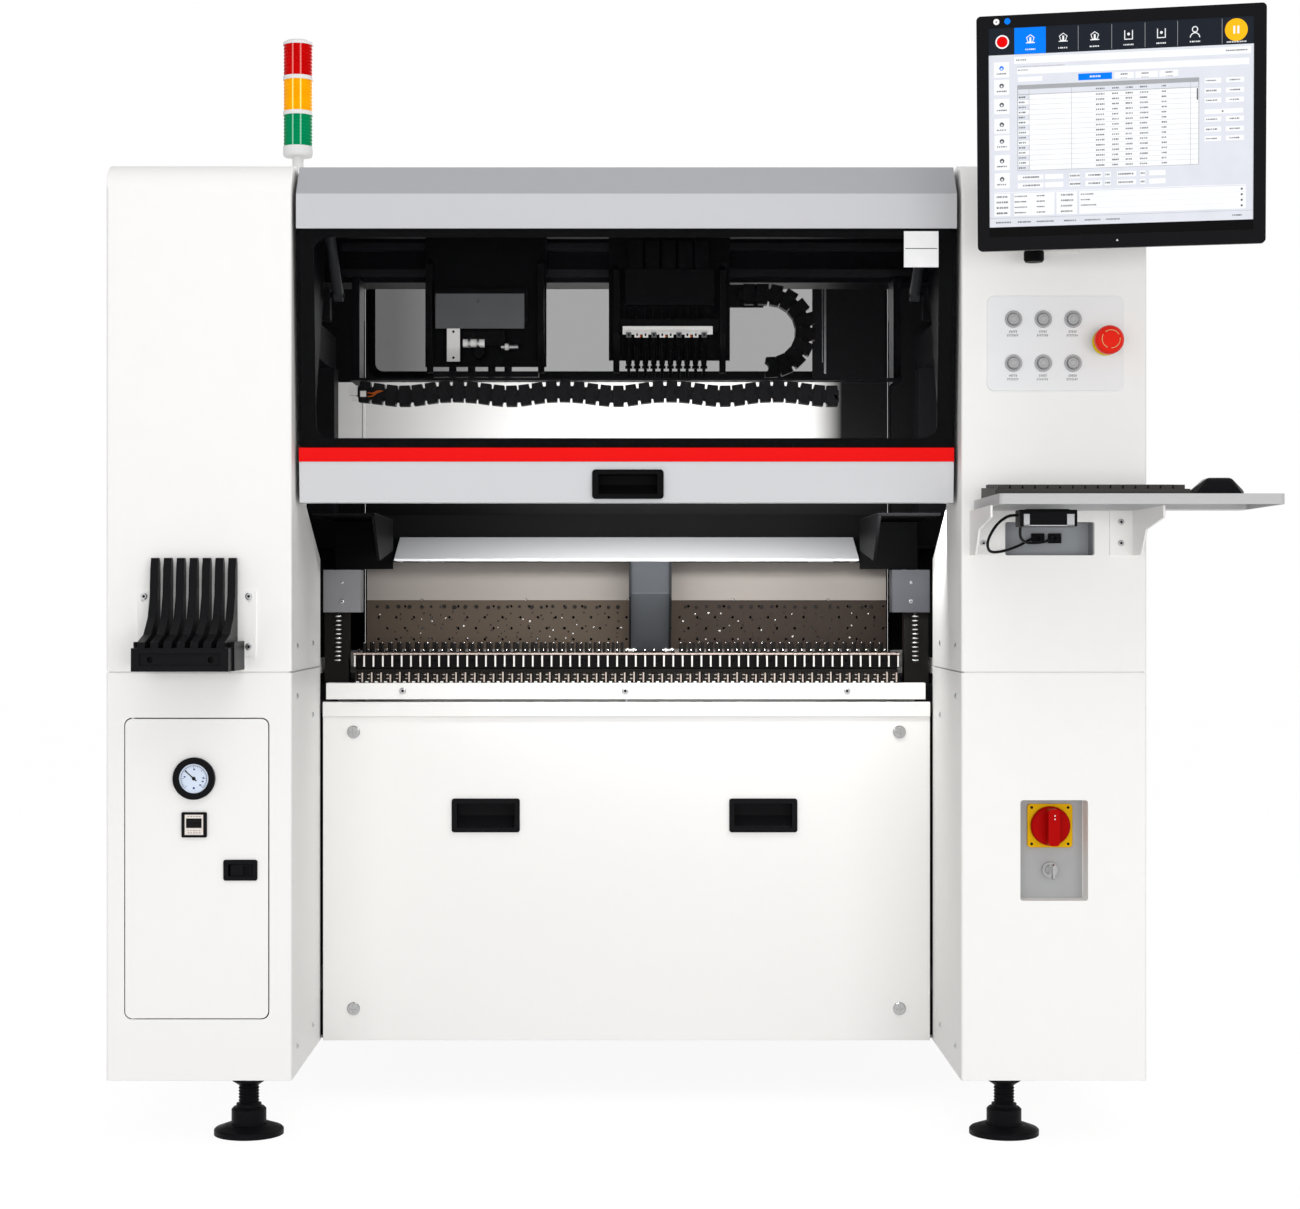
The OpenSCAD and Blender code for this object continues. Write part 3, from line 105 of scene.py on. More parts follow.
def background(tree, shown, seen):
    """A shader that is plain white to the camera, metal and glass, and shown to all else."""
    path = tree.nodes.new("ShaderNodeLightPath")
    share = path.outputs["Is Camera Ray"]
    for ray in ("Is Glossy Ray", "Is Transmission Ray"):
        either = tree.nodes.new("ShaderNodeMath")
        either.operation = "MAXIMUM"
        tree.links.new(share, either.inputs[0])
        tree.links.new(path.outputs[ray], either.inputs[1])
        share = either.outputs[0]
    mix = tree.nodes.new("ShaderNodeMixShader")
    for place, source in zip(mix.inputs, (share, shown.outputs[0], seen.outputs[0])):
        tree.links.new(source, place)
    return mix


def white_light(tree, strength):
    light = tree.nodes.new("ShaderNodeBackground")
    light.inputs[0].default_value = (1, 1, 1, 1)
    light.inputs[1].default_value = strength
    return light


world = bpy.data.worlds.new("studio")
bpy.context.scene.world = world
world.use_nodes = True
sky = world.node_tree
for old in list(sky.nodes):
    sky.nodes.remove(old)
sky_out = sky.nodes.new("ShaderNodeOutputWorld")
backdrop = background(sky, shown=white_light(sky, 0.6), seen=white_light(sky, 1.0))
sky.links.new(backdrop.outputs[0], sky_out.inputs[0])

floor_mesh = bmesh.new()
bmesh.ops.create_grid(floor_mesh, x_segments=1, y_segments=1, size=14)
floor_data = bpy.data.meshes.new("floor")
floor_mesh.to_mesh(floor_data)
floor_mesh.free()
floor = bpy.data.objects.new("floor", floor_data)
floor.location = (0, 0, -0.0005)
bpy.context.scene.collection.objects.link(floor)
pale = bpy.data.materials.new("pale_floor")
pale.use_nodes = True
tree = pale.node_tree
tree.nodes.clear()
matt = tree.nodes.new("ShaderNodeBsdfDiffuse")
matt.inputs[0].default_value = (0.8, 0.8, 0.8, 1)
white = tree.nodes.new("ShaderNodeEmission")
white.inputs[1].default_value = 1.08
shaded = tree.nodes.new("ShaderNodeMixShader")
shaded.inputs[0].default_value = 0.86
tree.links.new(matt.outputs[0], shaded.inputs[1])
tree.links.new(white.outputs[0], shaded.inputs[2])
floor_out = tree.nodes.new("ShaderNodeOutputMaterial")
tree.links.new(background(tree, matt, shaded).outputs[0], floor_out.inputs[0])
floor_data.materials.append(pale)

# %% [markdown]
# ## Shader maths as expressions
# A finish is a small formula: grain plus a little variation, mixed by a mask. A wrapper round
# a node's output lets Python write that formula with + - * and compare, and each sign adds
# the Math node that it stands for.

# %% Socket maths
class SocketMaths:
    """One value in a material. Maths with it adds Math nodes to the tree."""

    def __init__(self, tree, output):
        self.tree = tree
        self.output = output

    def apply(self, operation, first, second=None, third=None):
        node = self.tree.nodes.new("ShaderNodeMath")
        node.operation = operation
        for place, value in zip(node.inputs, (first, second, third)):
            if isinstance(value, SocketMaths):
                self.tree.links.new(value.output, place)
            elif value is not None:
                place.default_value = value
        return SocketMaths(self.tree, node.outputs[0])

    def __add__(self, other):
        return self.apply("ADD", self, other)

    def __sub__(self, other):
        return self.apply("SUBTRACT", self, other)

    def __rsub__(self, other):
        return self.apply("SUBTRACT", other, self)

    def __mul__(self, other):
        return self.apply("MULTIPLY", self, other)

    def __lt__(self, other):
        return self.apply("LESS_THAN", self, other)

    def __gt__(self, other):
        return self.apply("GREATER_THAN", self, other)

    def distance(self):
        return self.apply("ABSOLUTE", self)

    def ramp(self, low, high):
        """0 up to low, 1 from high on, and straight between them."""
        node = self.tree.nodes.new("ShaderNodeMapRange")
        node.inputs["From Min"].default_value = low
        node.inputs["From Max"].default_value = high
        self.tree.links.new(self.output, node.inputs["Value"])
        return SocketMaths(self.tree, node.outputs[0])

    def wrap(self):
        """The share of a step from the nearest whole number, from -0.5 to 0.5."""
        return self.apply("WRAP", self, 0.5, -0.5)

    __radd__ = __add__
    __rmul__ = __mul__


class Finish:
    """A material made of one Principled shader and the nodes that feed it."""

    def __init__(self, name, **numbers):
        self.material = bpy.data.materials.new(name)
        self.material.use_nodes = True
        self.tree = self.material.node_tree
        self.tree.nodes.clear()
        self.shader = self.tree.nodes.new("ShaderNodeBsdfPrincipled")
        self.out = self.tree.nodes.new("ShaderNodeOutputMaterial")
        self.tree.links.new(self.shader.outputs[0], self.out.inputs[0])
        self.feed(**numbers)

    def feed(self, **values):
        for key, value in values.items():
            self.put(self.shader.inputs[key.replace("_", " ")], value)
        return self

    def put(self, place, value):
        if isinstance(value, SocketMaths):
            self.tree.links.new(value.output, place)
        elif isinstance(value, tuple) and len(value) == 3 and place.type == "RGBA":
            place.default_value = (*value, 1)
        else:
            place.default_value = value

    def node(self, kind, settings=None, output=0, **values):
        """Adds a node: its settings first, then the values or links of its sockets."""
        made = self.tree.nodes.new(kind)
        for key, value in (settings or {}).items():
            setattr(made, key, value)
        for key, value in values.items():
            self.put(made.inputs[key.replace("_", " ")], value)
        return SocketMaths(self.tree, made.outputs[output])

    def place(self):
        """The point on the piece, in metres in the machine's frame."""
        return self.node("ShaderNodeTexCoord", output="Object")

    def axes(self):
        split = self.tree.nodes.new("ShaderNodeSeparateXYZ")
        self.tree.links.new(self.place().output, split.inputs[0])
        return [SocketMaths(self.tree, split.outputs[i]) for i in range(3)]

    def noise(self, scale, detail=2.0, stretch=(1, 1, 1)):
        where = self.place()
        if stretch != (1, 1, 1):
            where = self.node("ShaderNodeMapping", Vector=where, Scale=stretch)
        return self.node("ShaderNodeTexNoise", Vector=where, Scale=scale, Detail=detail)

    def mix(self, mask, first, second):
        made = self.tree.nodes.new("ShaderNodeMix")
        made.data_type = "RGBA"
        for place, value in zip((made.inputs[0], made.inputs[6], made.inputs[7]), (mask, first, second)):
            self.put(place, value)
        return SocketMaths(self.tree, made.outputs[2])

    def bump(self, height, strength, distance, normal=None):
        made = self.tree.nodes.new("ShaderNodeBump")
        made.inputs["Strength"].default_value = strength
        made.inputs["Distance"].default_value = distance
        self.put(made.inputs["Height"], height)
        if normal:
            self.put(made.inputs["Normal"], normal)
        self.tree.links.new(made.outputs[0], self.shader.inputs["Normal"])
        return self

    def soft_edge(self, radius):
        """Rounds the shading along sharp edges, as paint and moulding do."""
        return self.node("ShaderNodeBevel", {"samples": 6}, Radius=radius)


def tint(colour, factor):
    return tuple(min(1.0, c * factor) for c in colour)


# %% [markdown]
# ## Finishes
# Each finish is a short function. Powder coat has a faint orange-peel bump and a slow change
# of tone, brushed metal has streaks along one axis, and moulded plastic has a fine grain.
# Where one solid joins two finishes, a mask on the place picks between them.

# %% Finish recipes
def powder_coat(name, colour, rough=0.42, peel=0.10, shine=0.12):
    finish = Finish(name, Specular_IOR_Level=shine)
    tone = finish.noise(2.4, 3.0)
    finish.feed(Base_Color=finish.mix(tone, tint(colour, 0.985), tint(colour, 1.005)))
    finish.feed(Roughness=finish.noise(7.0) * 0.10 + (rough - 0.05))
    finish.bump(finish.noise(850.0, 2.0), peel, 0.0004, finish.soft_edge(0.0012))
    return finish


def moulded_plastic(name, colour, rough=0.45, grain=0.12, edge=0.0008, shine=0.05):
    finish = Finish(name, Specular_IOR_Level=shine)
    dust = finish.noise(14.0, 4.0)
    finish.feed(Base_Color=finish.mix(dust, tint(colour, 0.86), tint(colour, 1.16)))
    finish.feed(Roughness=finish.noise(22.0) * 0.16 + (rough - 0.08))
    finish.bump(finish.noise(1500.0, 1.0), grain, 0.0003, finish.soft_edge(edge))
    return finish


def brushed_metal(name, colour, stretch=(2, 60, 60), rough=0.34, metal=0.9):
    finish = Finish(name, Metallic=metal)
    streak = finish.noise(30.0, 3.0, stretch)
    finish.feed(Base_Color=finish.mix(streak, tint(colour, 0.88), tint(colour, 1.08)))
    finish.feed(Roughness=streak * 0.18 + (rough - 0.09))
    finish.bump(streak, 0.10, 0.0002, finish.soft_edge(0.0006))
    return finish


def glass_pane(name, colour, alpha):
    finish = Finish(name, Roughness=0.04, Specular_IOR_Level=0.04)
    smoke = finish.noise(3.0)
    finish.feed(Base_Color=finish.mix(smoke, tint(colour, 0.9), tint(colour, 1.1)))
    finish.feed(Alpha=smoke * 0.02 + (alpha - 0.01))
    return finish


def lens_plastic(name, colour, streak, glow=0.0):
    """Clear coloured plastic with two upright streaks of light on its front."""
    finish = Finish(name, Roughness=0.2, Specular_IOR_Level=0.03)
    x, y, z = finish.axes()
    low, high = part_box("lamp_red")
    middle = (low[0] + high[0]) / 2
    front = (y < (low[1] + high[1]) / 2 - 0.004)
    left_line = (x - (middle - 0.0061)).distance() < 0.0012
    right_line = (x - (middle + 0.0075)).distance() < 0.0012
    lines = left_line + right_line
    wave = finish.noise(45.0)
    body = finish.mix(wave, tint(colour, 0.8), tint(colour, 1.15))
    shown = finish.mix(lines * front * 0.8, body, streak)
    finish.feed(Base_Color=shown)
    if glow:
        finish.feed(Emission_Color=shown, Emission_Strength=glow)
    return finish


# %% Finishes of the solids
WHITE = (0.895, 0.888, 0.872)
SILVER = (0.40, 0.405, 0.425)
PALE_SILVER = (0.78, 0.785, 0.80)
NEAR_BLACK = (0.005, 0.005, 0.0055)
BEIGE_METAL = (0.50, 0.455, 0.42)

# where one solid's finish changes, in metres
STRIPE_LOW, STRIPE_HIGH = 0.9671, 0.9873
FACET_LOW = 1.3441                  # the hood's upright band ends here
PLATE_FRONT = FRONT - 0.0032        # just before a plate on the towers' front
RAIL_END, BLOCK_LOW = 0.411, 0.751  # the feeder rail's grey end blocks
PIN_PLATE, PIN_TOP = 0.0585, 0.7705 # the drilled lower part of the back plate
GUTTER = 0.0305                     # from the chute's middle to its side walls
LINER = 0.4742                      # inner faces of the towers
LINER_TOP = 1.3885                  # underside of the top covers
REAR_FACE = 0.4785                  # inner face of the rear wall
LIT_LOW, LIT_HIGH = 1.0, 1.165      # part of the rear wall that the light reaches

white_paint = powder_coat("white_paint", WHITE)
black_paint = powder_coat("black_paint", NEAR_BLACK, rough=0.42, peel=0.02, shine=0.03)
black_plastic = moulded_plastic("black_plastic", (0.007, 0.007, 0.008), rough=0.42, grain=0.05)
chain_plastic = moulded_plastic("chain_plastic", (0.010, 0.010, 0.011), rough=0.38, grain=0.05)
foot_plastic = moulded_plastic("foot_plastic", (0.006, 0.006, 0.007), rough=0.4, grain=0.05)
frame_paint = powder_coat("frame_paint", (0.009, 0.009, 0.010), shine=0.03)
cover_silver = powder_coat("cover_silver", PALE_SILVER, rough=0.36, peel=0.05)
black_anodised = powder_coat("black_anodised", (0.006, 0.006, 0.0065), rough=0.5, peel=0.02, shine=0.03)
tray_metal = brushed_metal("tray_metal", (0.52, 0.52, 0.525), (2, 60, 60), rough=0.4, metal=0.5)
lock_metal = brushed_metal("lock_metal", (0.50, 0.50, 0.50), (40, 40, 40), rough=0.22, metal=1.0)
turned_steel = brushed_metal("turned_steel", (0.46, 0.46, 0.465), (40, 40, 40), rough=0.3, metal=1.0)
knob_red = moulded_plastic("knob_red", (0.42, 0.002, 0.002), rough=0.35, grain=0.05)
stop_red = moulded_plastic("stop_red", (0.82, 0.022, 0.012), rough=0.28, grain=0.03)
lamp_white = moulded_plastic("lamp_white", (0.82, 0.82, 0.82), rough=0.3, grain=0.03)
red_lens = lens_plastic("red_lens", (0.62, 0.001, 0.001), (0.95, 0.30, 0.28))
amber_lens = lens_plastic("amber_lens", (0.95, 0.36, 0.0), (1.0, 0.86, 0.25), 0.22)
green_lens = lens_plastic("green_lens", (0.0, 0.27, 0.10), (0.35, 0.75, 0.55))
window_pane = glass_pane("window_pane", (0.002, 0.002, 0.003), 0.06)
rear_pane = glass_pane("rear_pane", (0.002, 0.002, 0.002), 0.35)
rear_pane.feed(Alpha=0.62 - rear_pane.axes()[0].ramp(-0.42, -0.2) * 0.27)
strut_paint = powder_coat("strut_paint", (0.05, 0.052, 0.058), rough=0.3, shine=0.1)
strut_chrome = brushed_metal("strut_chrome", (0.45, 0.45, 0.46), (40, 40, 4), rough=0.2, metal=1.0)


def hood_paint():
    """Silver paint with the red stripe masked off between two heights, and painted shade: the facet that
    leans back is painted darker than the bands below it.
    """
    finish = powder_coat("hood_paint", SILVER, rough=0.4, peel=0.05, shine=0.08)
    x, y, z = finish.axes()
    low_band = z < STRIPE_LOW
    upright = z < FACET_LOW
    # painted shade and light: the upright band is painted lighter than the facet, and the band below the
    # stripe lighter still
    silver = finish.mix(upright, SILVER, (0.555, 0.558, 0.58))
    silver = finish.mix(low_band, silver, (0.62, 0.625, 0.645))
    stripe = (z > STRIPE_LOW) * (z < STRIPE_HIGH)
    finish.feed(Base_Color=finish.mix(stripe, silver, (0.83, 0.006, 0.006)))
    return finish


def two_tone(name, base, other, mask_of, metal=0.0, rough=0.35, third=None):
    """Plastic in one colour, a second finish where the mask is 1, and a third on top."""
    finish = moulded_plastic(name, base)
    x, y, z = finish.axes()
    mask = mask_of(x, y, z)
    grain = finish.noise(30.0, 3.0)
    first = finish.mix(grain, tint(base, 0.985), tint(base, 1.01))
    second = finish.mix(grain, tint(other, 0.97), tint(other, 1.02))
    shade = finish.mix(mask, first, second)
    if third:
        colour, where = third
        top = finish.mix(grain, tint(colour, 0.95), tint(colour, 1.04))
        shade = finish.mix(where(x, y, z), shade, top)
    finish.feed(Base_Color=shade, Roughness=grain * 0.1 + (rough - 0.05))
    if metal:
        finish.feed(Metallic=mask * metal)
    return finish


rack_finish = two_tone("rack_finish", (0.008, 0.008, 0.009), WHITE,
    lambda x, y, z: y > PLATE_FRONT)
panel_finish = two_tone("panel_finish", (0.84, 0.845, 0.855), (0.42, 0.42, 0.43),
    lambda x, y, z: (y < PLATE_FRONT) + (y > FRONT + 0.0002), metal=1.0)
isolator_finish = two_tone("isolator_finish", (0.74, 0.43, 0.005), (0.5, 0.5, 0.5),
    lambda x, y, z: z < 0.41, metal=1.0)
# the rail's end blocks are grey, and the right one is painted darker as painted shade
rail_finish = two_tone("rail_finish", (0.012, 0.011, 0.010), (0.22, 0.22, 0.23),
    lambda x, y, z: (x.distance() > RAIL_END) * (z > BLOCK_LOW), rough=0.4,
    third=((0.075, 0.077, 0.085), lambda x, y, z: (x > RAIL_END) * (z > BLOCK_LOW)))
beam_finish = two_tone("beam_finish", (0.005, 0.005, 0.006), (0.016, 0.016, 0.018),
    lambda x, y, z: (y < -0.0302) * (z > 1.285))
# the drilled pin plate is darker brown, and towards the right it is painted darker still as painted shade
plate_finish = two_tone("plate_finish", tint(BEIGE_METAL, 0.64), (0.088, 0.068, 0.052),
    lambda x, y, z: (y < PIN_PLATE) * (z < PIN_TOP), rough=0.45,
    third=((0.045, 0.034, 0.028),
        lambda x, y, z: (y < PIN_PLATE) * (z < PIN_TOP) * x.ramp(0.02, 0.12)))
# a gutter with darker side walls
chute_middle = sum(corner[0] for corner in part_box("waste_chute")) / 2
chute_finish = two_tone("chute_finish", (0.095, 0.101, 0.110), (0.020, 0.021, 0.023),
    lambda x, y, z: (x - chute_middle).distance() > GUTTER, rough=0.45,
    third=((0.062, 0.066, 0.073),
        lambda x, y, z: ((x - chute_middle).distance() < GUTTER) * z.ramp(0.778, 0.784)))
# dark liners inside the covers; on the rear wall the black is painted shade, kept off the lower band that
# the light reaches, and the grey patch in the recess below the shelf is painted shade
upper_finish = two_tone("upper_finish", WHITE, NEAR_BLACK,
    lambda x, y, z: (x.distance() + (y > 0.2) * 0.0035 > LINER) * (x.distance() < 0.7335)
        * (y > FRONT + 0.05) * (z < LINER_TOP)
        * (1 - (y > 0.4762) * (z < LIT_HIGH) * (z > LIT_LOW) * (x < 0)) * (y < REAR_FACE), rough=0.42,
    third=((0.36, 0.375, 0.395), lambda x, y, z: (x > 0.53) * (x < 0.665) * (y > FRONT + 0.012)
        * (y < FRONT + 0.05) * (z > 0.826) * (z < 0.886)))
# painted shade: the rear wall's inner face is black, except on the left of the band that the light reaches
rear_finish = two_tone("rear_finish", tint(WHITE, 0.97), NEAR_BLACK,
    lambda x, y, z: (y < REAR_FACE) * (z < LINER_TOP)
        * (1 - (z < LIT_HIGH) * (z > LIT_LOW) * (1 - x.ramp(0.33, 0.39))), rough=0.42)
# the floor of the isolator's recess is painted grey as painted shade in the recess
lower_finish = two_tone("lower_finish", WHITE, (0.42, 0.425, 0.43),
    lambda x, y, z: (y > -0.4425) * (y < -0.4415) * ((x - 0.604).distance() < 0.047), rough=0.42)
keyboard_finish = two_tone("keyboard_finish", (0.006, 0.006, 0.007), (0.055, 0.052, 0.049),
    lambda x, y, z: x < 0.755, rough=0.4)
# a painted highlight as a bright streak on each tooth of the comb, and a pale line along its ridge
comb_low, comb_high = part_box("feeder_comb")
comb_finish = two_tone("comb_finish", (0.008, 0.007, 0.007), (0.84, 0.81, 0.77),
    lambda x, y, z: (y < comb_low[1] + 0.0002)
        * (((x - comb_low[0] - 0.0022) * (1 / 0.0145)).wrap().distance() < 0.085)
        * (z > comb_low[2] + 0.003) * (z < comb_high[2] - 0.006), metal=0.5, rough=0.3,
    third=((0.56, 0.46, 0.41), lambda x, y, z: (z > comb_high[2] - 0.0046) * (z < comb_high[2] - 0.0019)))

finish_of = {
    "base_frame": frame_paint, "levelling_feet": foot_plastic, "left_lower_cover": white_paint,
    "right_lower_cover": lower_finish, "left_upper_cover": upper_finish, "right_upper_cover": upper_finish,
    "rear_cover": rear_finish, "rear_window": rear_pane, "rear_lower_panels": white_paint,
    "front_panel": white_paint, "panel_pulls": black_plastic, "panel_locks": lock_metal,
    "feeder_comb": comb_finish, "feeder_rail": rail_finish, "back_plate": plate_finish,
    "deflector_cover": cover_silver, "waste_chute": chute_finish, "side_shields": black_paint,
    "y_rails": frame_paint, "conveyor_front_rail": black_anodised, "conveyor_rear_rail": black_anodised,
    "lamp_body": lamp_white, "lamp_red": red_lens, "lamp_amber": amber_lens, "lamp_green": green_lens,
    "control_panel": panel_finish, "isolator_plate": isolator_finish, "fin_rack": rack_finish,
    "shelf_tray": tray_metal, "tower_brackets": white_paint, "keyboard": keyboard_finish,
    "usb_hub": black_plastic, "hood_shell": hood_paint(), "hood_frame": black_paint,
    "hood_window": window_pane, "strut_tubes": strut_paint, "strut_rods": strut_chrome,
    "x_beam": beam_finish, "drag_chain": chain_plastic, "left_head": black_paint,
    "right_head": black_paint, "left_door": white_paint, "door_fittings": black_plastic,
    "door_latch": black_plastic, "estop_cap": stop_red, "isolator_knob": knob_red,
    "lock_key": lock_metal, "monitor_arm": black_paint, "monitor": black_plastic,
}
for number in range(1, 6):
    finish_of[f"nozzle_pair_{number}"] = black_paint
for number in range(1, 7):
    finish_of[f"button_{number}"] = turned_steel
for name, finish in finish_of.items():
    solid = nodes[name]
    solid.data.materials.clear()
    solid.data.materials.append(finish.material)
print("finished", len(finish_of), "solids of", len(nodes))

# %% [markdown]
# ## Helpers for small pieces
# Small pieces are drawn in millimetres with bmesh operators and scaled to metres at the end,
# so each one's object stays at the origin. `paint` is the index of the finish in the list that
# the piece is made with.

# %% Piece helpers
FORWARD = Vector((0, -1, 0))
UP = Vector((0, 0, 1))


def make_piece(name, shape, finishes, body="machine", place=None):
    """Turns a shape drawn in millimetres into a piece that rides with one body."""
    move = Matrix.Scale(MM, 4) @ (place or Matrix.Identity(4))
    bmesh.ops.transform(shape, matrix=move, verts=shape.verts)
    data = bpy.data.meshes.new(name)
    shape.to_mesh(data)
    shape.free()
    for finish in finishes:
        data.materials.append(finish.material)
    piece = bpy.data.objects.new(name, data)
    bpy.context.scene.collection.objects.link(piece)
    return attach(piece, body)


def set_paint(verts, paint):
    for face in {face for vert in verts for face in vert.link_faces}:
        face.material_index = paint


def add_block(shape, low, high, paint=0, turn=None):
    """Adds a box between two corners; turn moves it afterwards."""
    low, high = Vector(low), Vector(high)
    made = bmesh.ops.create_cube(shape, size=1)["verts"]
    bmesh.ops.scale(shape, vec=high - low, verts=made)
    bmesh.ops.translate(shape, vec=(low + high) / 2, verts=made)
    if turn:
        bmesh.ops.transform(shape, matrix=turn, verts=made)
    set_paint(made, paint)


def add_disc(shape, base, radius, depth, facing=FORWARD, paint=0, top=None, sides=32):
    """Adds a disc, cone or pin that stands on base and points along facing."""
    facing = Vector(facing)
    made = bmesh.ops.create_cone(shape, cap_ends=True, segments=sides, radius1=radius,
        radius2=radius if top is None else top, depth=depth)["verts"]
    turn = facing.to_track_quat("Z", "Y").to_matrix().to_4x4()
    middle = Matrix.Translation(Vector(base) + facing * depth / 2)
    bmesh.ops.transform(shape, matrix=middle @ turn, verts=made)
    set_paint(made, paint)


def add_ring(shape, base, inner, outer, depth, facing=FORWARD, paint=0, sides=48,
        sweep=2 * math.pi, start=0.0):
    """Spins a small rectangle into a flat ring, or into part of one."""
    facing = Vector(facing)
    corners = [(inner, 0), (outer, 0), (outer, depth), (inner, depth)]
    ring = [shape.verts.new((r * math.cos(start), r * math.sin(start), h)) for r, h in corners]
    face = shape.faces.new(ring)
    whole = sweep >= 2 * math.pi
    bmesh.ops.spin(shape, geom=[face] + list(face.edges) + ring, cent=(0, 0, 0), axis=(0, 0, 1),
        angle=sweep, steps=sides, use_merge=whole, use_duplicate=False)
    made = set(ring)
    stack = list(ring)
    while stack:
        for edge in stack.pop().link_edges:
            for vert in edge.verts:
                if vert not in made:
                    made.add(vert)
                    stack.append(vert)
    turn = facing.to_track_quat("Z", "Y").to_matrix().to_4x4()
    bmesh.ops.transform(shape, matrix=Matrix.Translation(Vector(base)) @ turn, verts=list(made))
    set_paint(made, paint)


def add_screw(shape, seat, radius, facing=FORWARD):
    """A low domed head with a dark hexagon socket. Finishes: 0 metal, 1 dark."""
    facing = Vector(facing)
    seat = Vector(seat)
    add_disc(shape, seat, radius, radius * 0.22, facing, 0)
    add_disc(shape, seat + facing * radius * 0.22, radius, radius * 0.22, facing, 0, top=radius * 0.7)
    add_disc(shape, seat + facing * radius * 0.44, radius * 0.44, 0.15, facing, 1, sides=6)


def add_pin(shape, foot, radius, height, tip, end):
    """A pin with a short bright tip that narrows to its end. Finishes: 0 metal, 1 dark."""
    add_disc(shape, foot, radius, height, UP, 1, sides=12)
    add_disc(shape, Vector(foot) + UP * height, tip, 1.8, UP, 0, top=end, sides=12)


def add_cable(shape, points, radius, paint=0, sides=10):
    """Sweeps a circle along a smoothed route through a few points."""
    route = [Vector(p) for p in points]
    for _ in range(2):
        finer = [route[0]]
        for a, b in zip(route, route[1:]):
            finer += [a.lerp(b, 0.25), a.lerp(b, 0.75)]
        route = finer + [route[-1]]
    rings = []
    for i, point in enumerate(route):
        ahead = route[min(i + 1, len(route) - 1)] - route[max(i - 1, 0)]
        turn = ahead.to_track_quat("Z", "Y").to_matrix().to_4x4()
        ring = bmesh.ops.create_circle(shape, cap_ends=i in (0, len(route) - 1), segments=sides,
            radius=radius)["verts"]
        bmesh.ops.transform(shape, matrix=Matrix.Translation(point) @ turn, verts=ring)
        rings.append(ring)
    for first, second in zip(rings, rings[1:]):
        edges = {edge for loop in (first, second) for vert in loop for edge in vert.link_edges
            if all(end in loop for end in edge.verts)}
        bmesh.ops.bridge_loops(shape, edges=list(edges))
    set_paint([v for ring in rings for v in ring], paint)


def mm_box(node):
    """A node's lowest and highest corners in millimetres."""
    low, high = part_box(node)
    return Vector(low) / MM, Vector(high) / MM


# %% [markdown]
# ### Finishes of the small pieces
# Flat colours still get a little noise, and the screen's colours glow by themselves.

# %% Finishes of the small pieces
def screen_colour(name, colour, glow=0.42):
    finish = Finish(name, Roughness=0.35, Specular_IOR_Level=0.08)
    finish.feed(Emission_Color=colour, Emission_Strength=glow)
    finish.feed(Base_Color=finish.mix(finish.noise(40.0), tint(colour, 0.55), tint(colour, 0.65)))
    return finish


screw_steel = brushed_metal("screw_steel", (0.62, 0.62, 0.63), (40, 40, 40), rough=0.28, metal=1.0)
socket_dark = moulded_plastic("socket_dark", (0.010, 0.010, 0.011), rough=0.6)
label_ink = moulded_plastic("label_ink", (0.10, 0.10, 0.105), rough=0.6)
stop_yellow = moulded_plastic("stop_yellow", (0.86, 0.70, 0.02), rough=0.35, grain=0.05)
mark_cream = moulded_plastic("mark_cream", (0.86, 0.62, 0.30), rough=0.4, grain=0.05)
mark_white = moulded_plastic("mark_white", (0.85, 0.85, 0.85), rough=0.4, grain=0.05)
dial_face = moulded_plastic("dial_face", (0.66, 0.74, 0.90), rough=0.35, grain=0.03)
dial_ink = moulded_plastic("dial_ink", (0.05, 0.08, 0.22), rough=0.5)
beige_frame = moulded_plastic("beige_frame", (0.78, 0.72, 0.67), rough=0.4)
pin_steel = brushed_metal("pin_steel", (0.86, 0.85, 0.83), (40, 40, 40), rough=0.2, metal=1.0)
contact_metal = brushed_metal("contact_metal", (0.62, 0.53, 0.47), (40, 40, 40), rough=0.3, metal=0.6)
pin_dark = moulded_plastic("pin_dark", (0.022, 0.020, 0.019), rough=0.4)
nylon_white = moulded_plastic("nylon_white", (0.84, 0.83, 0.81), rough=0.4, grain=0.05)
wire_orange = moulded_plastic("wire_orange", (0.80, 0.17, 0.02), rough=0.4)
sensor_grey = moulded_plastic("sensor_grey", (0.12, 0.125, 0.13), rough=0.35)

# %% [markdown]
# ## Screen picture
# The tilt joint says where the monitor's face is, so the picture is laid out on that face
# in millimetres: a dark bar with tabs, a column of icons, a table, and fields round it. Each
# layer lies a little in front of the one before.

# %% Screen picture
tilt = next(joint for joint in frame["joints"] if joint["name"] == "monitor_tilt")
yaw = Matrix.Rotation(math.atan2(tilt["axis"][1], tilt["axis"][0]), 4, "Z")
PIVOT_REACH = 46      # from the monitor's front face back to its tilt pivot
LEAN = 6              # degrees that the monitor leans back
face_middle = Vector(tilt["pos_m"]) / MM - yaw @ Vector((0, PIVOT_REACH, 0))
screen_place = Matrix.Translation(face_middle) @ yaw @ Matrix.Rotation(math.radians(LEAN), 4, "X")

